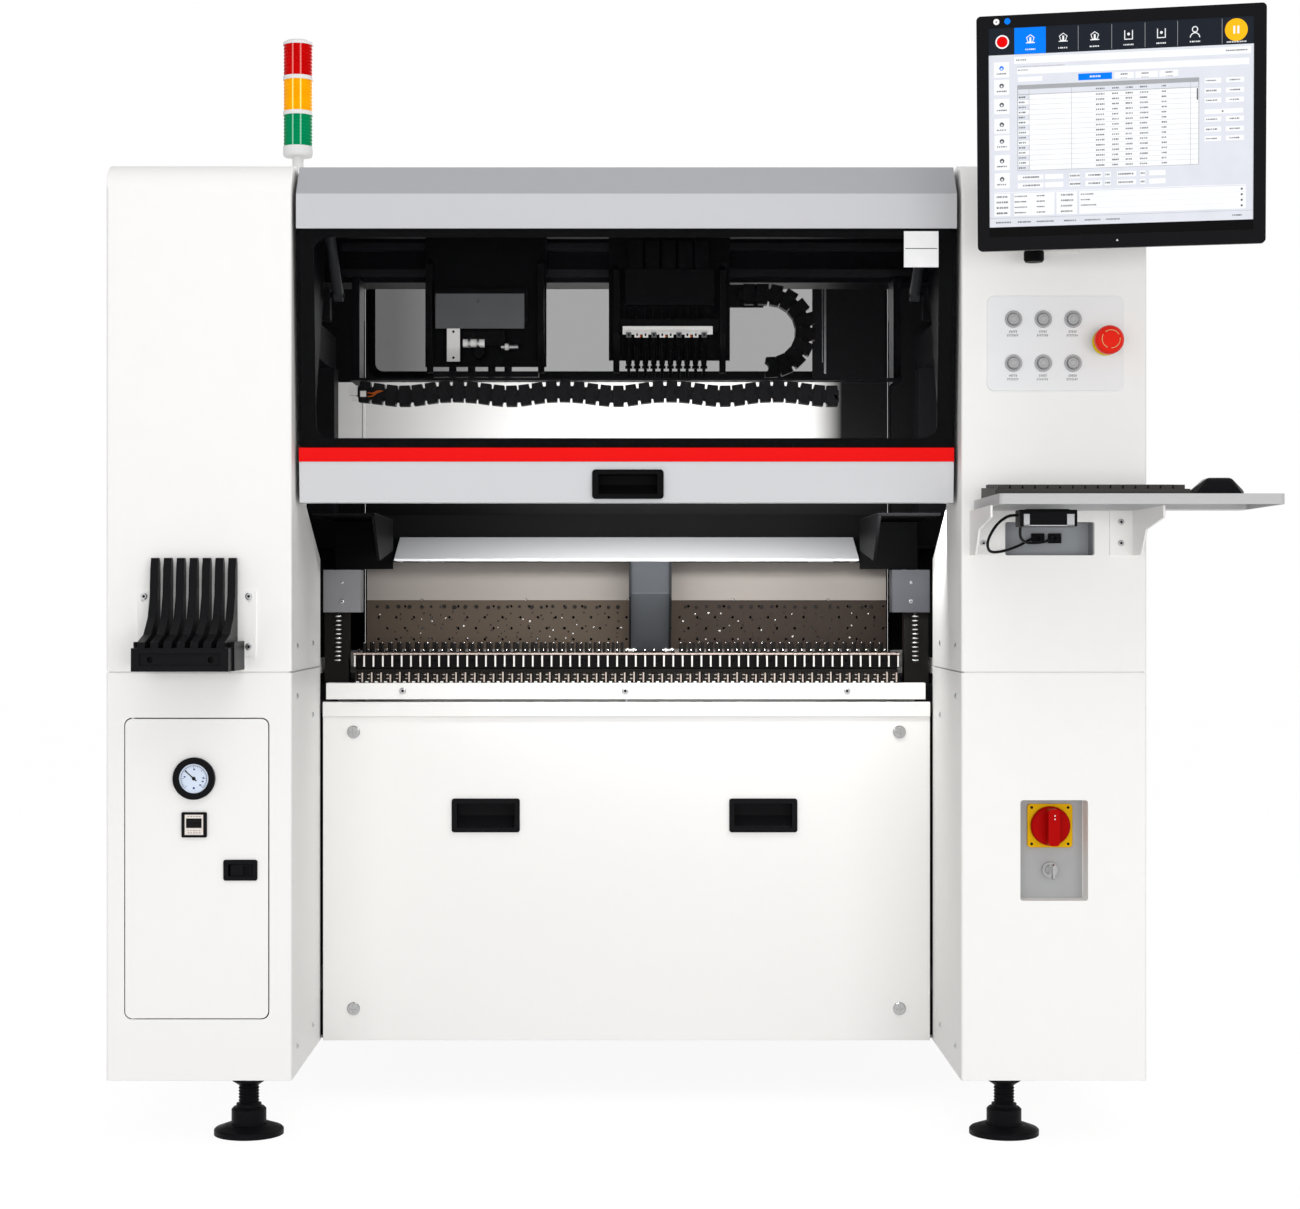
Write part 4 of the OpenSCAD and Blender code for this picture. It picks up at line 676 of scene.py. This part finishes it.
PANE, CARD, BAR, BLUE, RED, AMBER, INK, GREY, BLACK = range(9)
screen_paints = [
    screen_colour("screen_pane", (0.72, 0.74, 0.80)),
    screen_colour("screen_card", (0.90, 0.91, 0.93)),
    screen_colour("screen_bar", (0.012, 0.016, 0.024), 0.4),
    screen_colour("screen_blue", (0.0, 0.20, 0.95)),
    screen_colour("screen_red", (0.80, 0.0, 0.0)),
    screen_colour("screen_amber", (1.0, 0.50, 0.01)),
    screen_colour("screen_ink", (0.10, 0.105, 0.12), 0.3),
    screen_colour("screen_grey", (0.38, 0.39, 0.41)),
    screen_colour("screen_black", (0.002, 0.002, 0.002), 0.1),
]
screen = bmesh.new()
LEFT, RIGHT, TOP, BOTTOM = -171.4, 171.4, 138.9, -136.9
GLASS, LAYER, FILM = 1.45, 0.09, 0.05       # the panel's face, the step of a layer, its thickness


def area(left, right, top, bottom, paint, layer=1):
    y = GLASS - LAYER * layer
    add_block(screen, (left, y - FILM, bottom), (right, y, top), paint)


def dash(left, width, z, height=1.7, paint=INK, layer=3):
    """A row of short strokes that stands for a label."""
    step = random.uniform(1.9, 2.6)
    x = left
    while x < left + width - 0.6:
        end = min(x + step * random.uniform(0.45, 0.8), left + width)
        area(x, end, z + height / 2, z - height / 2, paint, layer)
        x += step


def dot(x, z, radius, paint, layer, sides=40):
    add_disc(screen, (x, GLASS - LAYER * layer, z), radius, FILM, FORWARD, paint, sides=sides)


random.seed(7)
area(LEFT, RIGHT, TOP, BOTTOM, PANE, 0)
area(LEFT, RIGHT, TOP, 103.3, BAR)
area(LEFT, RIGHT, -123.6, BOTTOM, BLACK)
area(-137.5, -96.3, 138, 103.5, BLUE, 2)
for x in (-54, -10.5, 32.5, 74.3, 131):
    area(x - 0.25, x + 0.25, 137, 105, GREY, 2)
dot(-153.5, 120.5, 9, CARD, 2)
dot(-153.5, 120.5, 7.2, RED, 3)
dot(149, 122, 14.5, AMBER, 2)
for x in (146.4, 151.6):
    area(x - 1.2, x + 1.2, 127, 117, CARD, 3)
dash(137, 25, 106.6, 1.8, CARD)
for x in (-116.5, -73.5, -32.5):
    add_ring(screen, (x, 1.2, 123), 4.6, 5.8, 0.05, FORWARD, CARD, sides=5, start=0.3)
    area(x - 5.8, x + 5.8, 118.4, 117.2, CARD, 3)
    area(x - 1.2, x + 1.2, 125, 119, CARD, 3)
for x in (11.3, 53.5):
    for side in (-5, 5):
        area(x + side - 0.6, x + side + 0.6, 128, 116.4, CARD, 3)
    area(x - 5.6, x + 5.6, 117, 115.8, CARD, 3)
    dot(x, 123, 1.8, CARD, 3)
add_ring(screen, (96.5, 1.2, 125), 2.8, 4.0, 0.05, FORWARD, CARD, sides=24)
add_ring(screen, (96.5, 1.2, 114.5), 5.4, 6.6, 0.05, FORWARD, CARD, sides=16, sweep=math.pi)
for x in (-116.5, -73.5, -32.5, 11.3, 53.5, 96.5):
    dash(x - 6.5, 13, 109.3, 1.8, CARD)

for row, z in enumerate((84, 61, 36, 10, -12, -38, -62)):
    area(-164.5, -144.5, z + 10, z - 10, CARD)
    dot(-154.6, z + 2, 3.0, BLUE if row == 0 else INK, 2, 20)
    dot(-154.6, z + 1.2, 1.3, CARD, 3, 12)
    dash(-161, 13, z - 5.2, 1.7)
area(-138, 168, 100, 91, CARD, 1)
dash(-135, 13, 95.8)
dash(136, 27, 95.8)
area(-134, 165.5, 85.5, 77, CARD)
dash(-133, 14, 82.5, 1.4)
dash(-134, 62, 87, 1.0, GREY)
area(-133, -101, 73.5, 67.5, CARD)
area(-54, -10.2, 74.5, 65.8, BLUE)
dash(-39, 14, 70.2, 2.2, CARD)
for x, width in ((-7, 25), (20, 29), (51, 24)):
    area(x, x + width, 74, 66, CARD)
    dash(x + 8, 9, 71.5)
    dash(x + 8, 9, 66.5, 1.2, GREY)

area(-134, 102, 62.9, -49.9, GREY)
area(-133, 101, 62, 57.8, GREY, 2)
area(-133, 101, 57.2, 50.8, PANE, 2)
columns = ((-132, 9), (-31, 11), (-10, 8.5), (7.5, 9), (26, 10.5), (54, 6.5))
for x, width in columns[1:]:
    dash(x, width, 54, 1.9)
for x in (-118.5, -63, 91):
    area(x - 0.2, x + 0.2, 57, -49.5, GREY, 4)
ROWS = 15
pitch = (50.2 + 49.4) / ROWS
for row in range(ROWS):
    top = 50.2 - row * pitch
    area(-133.2, 101.2, top - 0.25, top - pitch, CARD if row % 2 else PANE, 2)
    area(-118, 101.2, top - 0.25, top - pitch, CARD, 3)
    for x, width in columns:
        dash(x, width, top - pitch / 2, 2.0, INK, 4)
area(98.9, 100.6, 49, 34, INK, 4)

for row, z in enumerate((58, 45, 32.5, 18, 8, -5, -17)):
    if row == 3:
        area(109, 158, z + 3, z - 3, CARD)
        dot(132, z, 1.2, INK, 2, 12)
        continue
    area(109, 130, z + 3.2, z - 3.2, CARD)
    area(136, 159, z + 3.2, z - 3.2, CARD)
    dash(111, 14, z, 2.0 if row % 2 else 1.6)
    dash(141, 13, z)
for z in (-58.7, -69.5):
    for x, width in ((-134, 34), (-98, 24), (-66, 14), (-45, 22), (-20, 8), (-4, 25), (26, 7), (38, 21)):
        area(x, x + width, z + 3.3, z - 3.3, CARD)
    for x, width in ((-127, 22), (-65, 13), (-41, 16), (-19, 6), (-2, 20), (27, 5)):
        dash(x, width, z, 2.2)
area(-165, 162, -77.5, -78.3, CARD)
for left, right in ((-165, -144), (-139, -85.5), (-83, -56), (-53, 162)):
    area(left, right, -79.5, -109, CARD)
for row in range(4):
    z = -83.5 - 7.2 * row
    dash(-162, 15, z, 2.4)
    dash(-138, 16, z)
    dash(-109, 11, z)
    dash(-77, 16, z, 2.2)
    if row < 3:
        dash(-51, (18, 12, 21)[row], z)
        area(-52, 161, z - 3.7, z - 4.0, PANE, 2)
    area(155.5, 158, z + 1.2, z - 1.2, INK, 3)
for x, width in ((-163, 20), (-134, 17), (-109, 22), (-73, 16), (-46, 21), (-18, 18), (145, 12)):
    dash(x, width, -117.5, 1.9)
area(LEFT, RIGHT, -111.5, -111.9, GREY, 1)
make_piece("screen_picture", screen, screen_paints, "monitor", screen_place)

stickers = bmesh.new()
add_disc(stickers, (-161, 0, 146.8), 4.0, 0.35, FORWARD, 0)
add_disc(stickers, (-161, -0.35, 146.8), 1.3, 0.1, FORWARD, 2, sides=4)
add_disc(stickers, (-146.5, 0, 147), 4.2, 0.35, FORWARD, 1, sides=10)
add_disc(stickers, (-3.6, 0, -145.5), 1.9, 0.2, FORWARD, 0, sides=3)
sticker_paints = [mark_white, screen_paints[BLUE], label_ink]
make_piece("monitor_marks", stickers, sticker_paints, "monitor", screen_place)
print("screen picture done")

# %% [markdown]
# ## Control panel marks
# Each push button has a shallow shine ring, and a two-line mark below it. The marks are plain
# strokes. The emergency stop has its yellow collar and the broken ring on its cap.

# %% Control panel marks
TOWER_FACE = mm_box("left_upper_cover")[0].y
panel_y = TOWER_FACE - 3.0
marks = bmesh.new()
random.seed(11)
for number in range(1, 7):
    low, high = mm_box(f"button_{number}")
    middle = (low + high) / 2
    for line, (width, height) in enumerate(((11, 3.4), (17, 3.0))):
        x, z = middle.x - width / 2, middle.z - 17.6 - line * 5.2
        while x < middle.x + width / 2 - 0.8:
            stroke = random.uniform(0.5, 0.8)
            rise = random.choice((0.5, 0.15, 0.5))
            add_block(marks, (x, panel_y - 0.15, z - height / 2), (x + stroke, panel_y, z + height / 2))
            add_block(marks, (x + stroke, panel_y - 0.15, z + height * (rise - 0.15)),
                (x + 1.7, panel_y, z + height * rise))
            x += 2.35
make_piece("button_marks", marks, [label_ink])

for number in range(1, 7):
    low, high = mm_box(f"button_{number}")
    middle = (low + high) / 2
    shine = bmesh.new()
    add_ring(shine, (middle.x, low.y, middle.z), 7.6, 8.2, 0.25, FORWARD, 0)
    add_disc(shine, (middle.x, low.y, middle.z), 4.6, 0.12, FORWARD, 0, top=4.2)
    make_piece(f"button_ring_{number}", shine, [turned_steel], f"button_{number}")

stop_low, stop_high = mm_box("estop_cap")
stop = (stop_low + stop_high) / 2
collar = bmesh.new()
add_ring(collar, (stop.x, panel_y - 12.1, stop.z), 15.8, 19.4, 2.4, FORWARD, 0)
make_piece("stop_collar", collar, [stop_yellow])
cap_ring = bmesh.new()
cap_face = Vector((stop.x, stop_low.y, stop.z))
ARROW = math.radians(92)
for part in range(3):
    start = math.radians(30 + 120 * part)
    add_ring(cap_ring, cap_face, 12.2, 13.0, 0.2, FORWARD, 0, sides=20, sweep=ARROW, start=start)
    tip = Matrix.Translation(cap_face) @ Matrix.Rotation(-start - ARROW, 4, "Y")
    add_disc(cap_ring, tip @ Vector((12.6, 0, 0)), 1.5, 0.2, FORWARD, 0, sides=3)
make_piece("stop_arrows", cap_ring, [mark_cream], "estop")

# %% [markdown]
# ## Door instruments
# The gauge's dial is a pale disc with a tick ring round three quarters of a turn. The pressure
# switch has a beige frame with a dark display in it.

# %% Door instruments
GAUGE = Vector((-610, TOWER_FACE - 6.05, 518))
gauge_face = GAUGE + Vector((0, -0.3, 0))
dial = bmesh.new()
add_disc(dial, GAUGE, 20.8, 0.3, FORWARD, 0, sides=48)
for tick in range(31):
    turn = math.radians(-45 + 270 * tick / 30)
    long = tick % 5 == 0
    spoke = Matrix.Translation(gauge_face) @ Matrix.Rotation(turn, 4, "Y")
    inner, half = (14.2, 0.3) if long else (16, 0.16)
    add_block(dial, (inner, -0.12, -half), (18, 0, half), 1, spoke @ Matrix.Rotation(math.pi, 4, "Y"))
add_ring(dial, gauge_face, 18.0, 18.5, 0.12, FORWARD, 1, sides=40,
    sweep=math.radians(270), start=math.radians(-45))
add_disc(dial, GAUGE + Vector((0, -0.3, -13.4)), 1.6, 0.12, FORWARD, 1)
for x, z in ((-13, 2.5), (13.5, 1.0), (12.5, -4), (9, -9), (0.5, 13)):
    add_block(dial, GAUGE + Vector((x - 1.3, -0.42, z - 1)), GAUGE + Vector((x + 1.3, -0.3, z + 1)), 1)
pointer = Matrix.Translation(GAUGE + Vector((0, -0.7, 0))) @ Matrix.Rotation(math.radians(-138), 4, "Y")
add_block(dial, (-5, -0.2, -0.8), (16.5, 0, 0.8), 2, pointer)
add_disc(dial, gauge_face, 2.6, 0.9, FORWARD, 2, sides=24)
make_piece("gauge_dial", dial, [dial_face, dial_ink, socket_dark], "left_door")

switch = bmesh.new()
face_y = TOWER_FACE - 5
add_block(switch, (-623, face_y - 0.5, 438.5), (-597, face_y, 467), 0)
add_block(switch, (-621, face_y - 0.9, 448.4), (-599.2, face_y - 0.5, 461.8), 1)
random.seed(3)
for x in (-615, -610, -605):
    add_ring(switch, (x, face_y - 0.9, 455), 1.1, 1.6, 0.06, FORWARD, 2, sides=8)
for z in (464.6, 444.6, 441.4):
    for x in range(-619, -601, 4):
        stroke = random.uniform(1.4, 3)
        add_block(switch, (x, face_y - 0.62, z - 0.4), (x + stroke, face_y - 0.5, z + 0.4), 3)
make_piece("switch_face", switch, [beige_frame, socket_dark, sensor_grey, label_ink], "left_door")

# %% [markdown]
# ## Isolator
# Four dark screws hold the yellow plate, and two white dots mark the grip's end.

# %% Isolator
ISOLATOR = Vector((604, -447, 448))
plate_screws = bmesh.new()
for sx in (-26, 26):
    for sz in (-26, 26):
        add_disc(plate_screws, ISOLATOR + Vector((sx, 0, sz)), 2.1, 0.5, FORWARD, 0, top=1.6)
make_piece("isolator_screws", plate_screws, [socket_dark])
grip_front = mm_box("isolator_knob")[0].y
dots = bmesh.new()
for z in (7, 2.2):
    add_disc(dots, (ISOLATOR.x + 1, grip_front, ISOLATOR.z + 10 + z), 1.1, 0.15, FORWARD, 0, sides=20)
make_piece("grip_dots", dots, [mark_white], "isolator")

# %% [markdown]
# ## Screws
# One piece per group, each screw seated on the cover that it holds. Screws on the towers' inner
# faces point into the opening, and those on the front strip point forward.

# %% Screws
def make_screws(name, screws):
    """One piece of screws. Each has its seat, its head's radius and, if not forward, its facing."""
    group = bmesh.new()
    for screw in screws:
        add_screw(group, *screw)
    make_piece(name, group, [screw_steel, socket_dark])


inner_x = abs(mm_box("left_upper_cover")[1].x)
shelf_low = mm_box("shelf_tray")[0].z
make_screws("tower_screws", [((side * inner_x, y, z), 4.2, (-side, 0, 0)) for side in (-1, 1)
    for y, z in ((-425, 704), (-254, 705), (-425, 632), (-254, 597), (-425, 130), (-254, 130))])
make_screws("strip_screws", [((x, -170, 630), 5.2) for x in (-345, -2, 340)])
make_screws("block_screws", [((side * 441, -150, z), radius) for side in (-1, 1)
    for z, radius in ((768, 3.2), (797, 2.2))])
make_screws("bracket_screws", [((x, panel_y, shelf_low - drop), 4.4)
    for x in (504, 698) for drop in (16, 46)])

# bright ends of the hub under the shelf, and a line along its lower edge
HUB_LEFT, HUB_RIGHT, HUB_LOW, HUB_HIGH = 541, 610, 871, 887
near, far = TOWER_FACE - 122.8, TOWER_FACE - 121.8
hub_ends = bmesh.new()
for left, right in ((HUB_LEFT, HUB_LEFT + 8), (HUB_RIGHT - 10, HUB_RIGHT)):
    add_block(hub_ends, (left, near, HUB_LOW), (right, far, HUB_HIGH), 0)
add_block(hub_ends, (HUB_LEFT, near, HUB_LOW - 0.6), (HUB_RIGHT, far, HUB_LOW + 1), 0)
make_piece("hub_ends", hub_ends, [screw_steel])

rack_low, rack_high = mm_box("fin_rack")
make_screws("rack_screws", [((x, panel_y, z), 5.0)
    for x, z in ((rack_low.x + 9, 775), (rack_high.x - 9, 775), (rack_high.x - 9, 704))])

plate_holes = bmesh.new()
for x in (-335, -165, 3, 175, 330):
    add_disc(plate_holes, (x, 60, 770), 2.6, 0.4, FORWARD, 1)
    add_disc(plate_holes, (x, 59.6, 770), 1.5, 0.3, FORWARD, 0)
make_piece("plate_screws", plate_holes, [screw_steel, socket_dark])
print("marks and screws done")

# %% [markdown]
# ## Feeder bank
# Behind the comb stand rows of location pins, and in front of it a row of short springs and
# contacts. The pin plate behind them is drilled all over.

# %% Feeder bank
bank_low, bank_high = mm_box("feeder_comb")
TOOTH = 2.2           # half a comb tooth
PITCH = 14.5
BED_TOP = bank_high.z - 4
CHUTE_X = 38
bank = bmesh.new()
contacts = bmesh.new()
random.seed(5)
first_x = bank_low.x + TOOTH
for i in range(round((bank_high.x - bank_low.x - 2 * TOOTH) / PITCH)):
    x = first_x + PITCH * i
    add_pin(bank, (x, -95, BED_TOP), 2.6, 5.0, 1.5, 0.8)
    if abs(x - CHUTE_X) > 40:
        add_pin(bank, (x, -20, BED_TOP), 2.8, 15, 1.6, 0.9)
        add_disc(bank, (x + PITCH / 2, 20, BED_TOP - 6), 3.0, 22, UP, 1, top=2.4, sides=12)
    middle = x + PITCH / 2
    for turn in range(5):
        add_disc(contacts, (middle, -156.4, 645 + 3 * turn), 2.2, 1.5, UP, 1 - turn % 2, sides=10)
    add_block(contacts, (middle + 3.4, -157.5, 643), (middle + 5.6, -154, 655 + random.uniform(0, 4)), 0)
    add_block(contacts, (middle - 6.2, -158, 643), (middle - 3.4, -154, 652 + random.uniform(0, 6)), 1)
    add_block(contacts, (middle - 5, -160, 642.4), (middle - 0.5, -156.5, 644.6), 2)
make_piece("bank_pins", bank, [pin_steel, pin_dark])
make_piece("bank_contacts", contacts, [contact_metal, pin_dark, nylon_white])

# a coil spring on a pin below each end block
SPRING_X, SPRING_LOW, SPRING_TURNS, SPRING_PITCH = 447, 676, 11, 6.8
springs = bmesh.new()
for side in (-1, 1):
    add_disc(springs, (side * SPRING_X, -150, SPRING_LOW - 4), 1.6, 79, UP, 1, sides=12)
    for turn in range(SPRING_TURNS):
        coil = Vector((side * SPRING_X, -150, SPRING_LOW + SPRING_PITCH * turn))
        add_ring(springs, coil, 3.8, 5.8, 1.9, UP, 0, sides=16)
make_piece("block_springs", springs, [pin_steel, pin_dark])

drilling = bmesh.new()
pin_plate_y = mm_box("back_plate")[0].y
for i in range(46):
    x = -408 + 18.0 * i + random.uniform(-2.5, 2.5)
    if abs(x - CHUTE_X) < 42:
        continue
    hole = (x, pin_plate_y, 759 + random.uniform(-1, 1))
    add_disc(drilling, hole, random.uniform(2.4, 3.6), 1.5, FORWARD, 0, sides=14)
    for z in (748, 738, 728, 718, 708):
        if random.random() < 0.72:
            bright = random.random() < 0.22
            hole = (x + random.uniform(-6, 6), pin_plate_y, z + random.uniform(-3, 3))
            add_disc(drilling, hole, random.uniform(0.9, 1.7), 0.6, FORWARD, int(bright), sides=10)
make_piece("plate_drilling", drilling, [pin_dark, pin_steel])

chute_low, chute_high = mm_box("waste_chute")
chute_feet = bmesh.new()
for side in (-1, 1):
    x = (chute_low.x + chute_high.x) / 2 + side * 31
    add_block(chute_feet, (x - 7, 40, 687), (x + 7, 47, 690.5))
    for end in (-5, 5):
        add_disc(chute_feet, (x + end, 39.5, 689), 3.0, 4, FORWARD, 0, sides=16)
make_piece("chute_feet", chute_feet, [nylon_white])
print("feeder bank done")

# %% [markdown]
# ## Gantry details
# Behind the window the heads carry connectors, a camera and cover plates. Each piece rides with
# the head or beam that it is fixed to.

# %% Gantry details
right_low, right_high = mm_box("nozzle_pair_1")[0], mm_box("nozzle_pair_5")[1]
head_front = right_low.y - 4.4
manifold = bmesh.new()
add_block(manifold, (right_low.x - 4, head_front - 2.4, 1189), (right_high.x + 8, head_front, 1202), 0)
for i in range(10):
    x = right_low.x + 5.6 + 13.2 * i
    plug_paint = 0 if i % 3 else 2
    add_block(manifold, (x - 4.2, head_front - 5.4, 1184), (x + 4.2, head_front - 2.4, 1192), plug_paint)
    add_block(manifold, (x - 1.4, head_front - 5.8, 1186), (x + 1.4, head_front - 5.4, 1190), 1)
    if i % 3 == 1:
        add_disc(manifold, (x + 5, head_front - 2.4, 1186), 1.6, 2.0, FORWARD, 3, sides=10)
manifold_paints = [nylon_white, socket_dark, sensor_grey, wire_orange]
make_piece("nozzle_manifold", manifold, manifold_paints, "right_head")

label_plate = bmesh.new()
add_block(label_plate, (40, -75.5, 1240), (73, -74.2, 1288), 0)
for i in range(5):
    x = 4 + i * 26
    add_block(label_plate, (x + 3, -73.2, 1300), (x + 19, -72.2, 1332), 0)
make_piece("motor_plates", label_plate, [sensor_grey], "right_head")

left_low, left_high = mm_box("left_head")
camera_head = bmesh.new()
add_block(camera_head, (-283, left_low.y - 0.2, 1146), (-262.5, left_low.y + 3, 1199), 0)
for z in (1152, 1193):
    add_disc(camera_head, (-272.7, left_low.y - 0.2, z), 2.0, 0.4, FORWARD, 1, sides=16)
add_disc(camera_head, (-258, -80, 1176), 7, 34, (1, 0, 0), 0, sides=24)
add_disc(camera_head, (-250, -80, 1176), 8.6, 4, (1, 0, 0), 2, sides=24)
add_disc(camera_head, (-236, -80, 1176), 8.6, 4, (1, 0, 0), 2, sides=24)
add_disc(camera_head, (-198, -80, 1170), 4.5, 27, (1, 0, 0), 2, sides=20)
add_disc(camera_head, (-192, -80, 1170), 5.5, 6, (1, 0, 0), 0, sides=20)
make_piece("camera_parts", camera_head, [nylon_white, socket_dark, screw_steel], "left_head")

cover_plate = bmesh.new()
add_block(cover_plate, (-301, left_low.y - 1.0, 1198), (-161, left_low.y + 0.2, 1253), 0)
add_screw(cover_plate, (-234, left_low.y - 1.0, 1241), 2.8)
make_piece("head_cover_plate", cover_plate, [sensor_grey, socket_dark], "left_head")

# dark parts below the heads, on the same plates
SKIRT_LOW = 1123
skirts = bmesh.new()
add_block(skirts, (left_low.x + 14, left_low.y + 12, SKIRT_LOW), (left_high.x - 12, -46, left_low.z + 1))
for x in (-276, -246, -214, -188):
    add_disc(skirts, (x, -56, SKIRT_LOW - 2), 6, 20, UP, 0, sides=20)
make_piece("left_head_skirt", skirts, [black_plastic], "left_head")

# black plate over one end of the rear window, and two bright uprights before the rear wall
wall = mm_box("rear_window")[0].y
blind = bmesh.new()
add_block(blind, (336, wall - 3, 1172), (468, wall, 1370), 0)
add_block(blind, (357, wall - 7, 1180), (361, wall - 3, 1366), 1)
add_block(blind, (353.5, wall - 5, 1200), (355, wall - 3, 1392), 1)
make_piece("window_blind", blind, [black_paint, screw_steel])

# plain white card on the inside corner of the hood's window
pane = mm_box("hood_window")[0].y
card = bmesh.new()
add_block(card, (392, pane - 0.4, 1240), (441, pane, 1291), 0)
add_block(card, (394, pane - 0.5, 1266), (439, pane - 0.4, 1267.2), 1)
make_piece("window_card", card, [mark_white, sensor_grey], "hood")

# cables inside both energy chains, along the middles of their links
LINK = 21
WAVE = (-5, -8, -6, 1, 8, 8, 3, -1)       # heading of each link in one wave of the long run
tray_low = mm_box("x_beam")[0].z
route = [Vector((-420, 0, tray_low - 16.8))]
for i in range(36):
    heading = math.radians(WAVE[i % 8])
    route.append(route[-1] + LINK * Vector((math.cos(heading), 0, math.sin(heading))))
LOOP = Vector((225, 0, tray_low + 81))
LOOP_R = 58
loop = [LOOP + Vector((back, 0, LOOP_R)) for back in (-38, -19)]
for i in range(13):
    turn = math.pi * i / 12
    loop.append(LOOP + LOOP_R * Vector((math.sin(turn), 0, math.cos(turn))))
CABLE_R = 4.4
for name, line, y, body in (
        ("run_cables", route, -108, "gantry"), ("loop_cables", loop, -80, "right_head")):
    bundle = bmesh.new()
    for across, up in ((-5, -5), (-5, 5), (4.5, -5.5), (4.5, 4.5)):
        add_cable(bundle, [point + Vector((0, y + across, up)) for point in line], CABLE_R, 0, 8)
    make_piece(name, bundle, [black_plastic], body)

# plugs and short wires where the chain begins
wiring = bmesh.new()
for x, z, width, height in ((-426, 1096, 12, 13), (-411, 1092, 9, 9), (-424, 1084, 8, 7)):
    add_block(wiring, (x - width / 2, -126, z - height / 2), (x + width / 2, -120, z + height / 2), 0)
for i in range(4):
    wire = ((-404, -122, 1094 - 3 * i), (-396, -126, 1092 - 2 * i),
        (-388, -124, 1097 - i), (-380, -120.5, 1096))
    add_cable(wiring, wire, 0.9, 1 + i % 2)
make_piece("chain_wiring", wiring, [nylon_white, wire_orange, socket_dark], "gantry")
print("gantry details done")
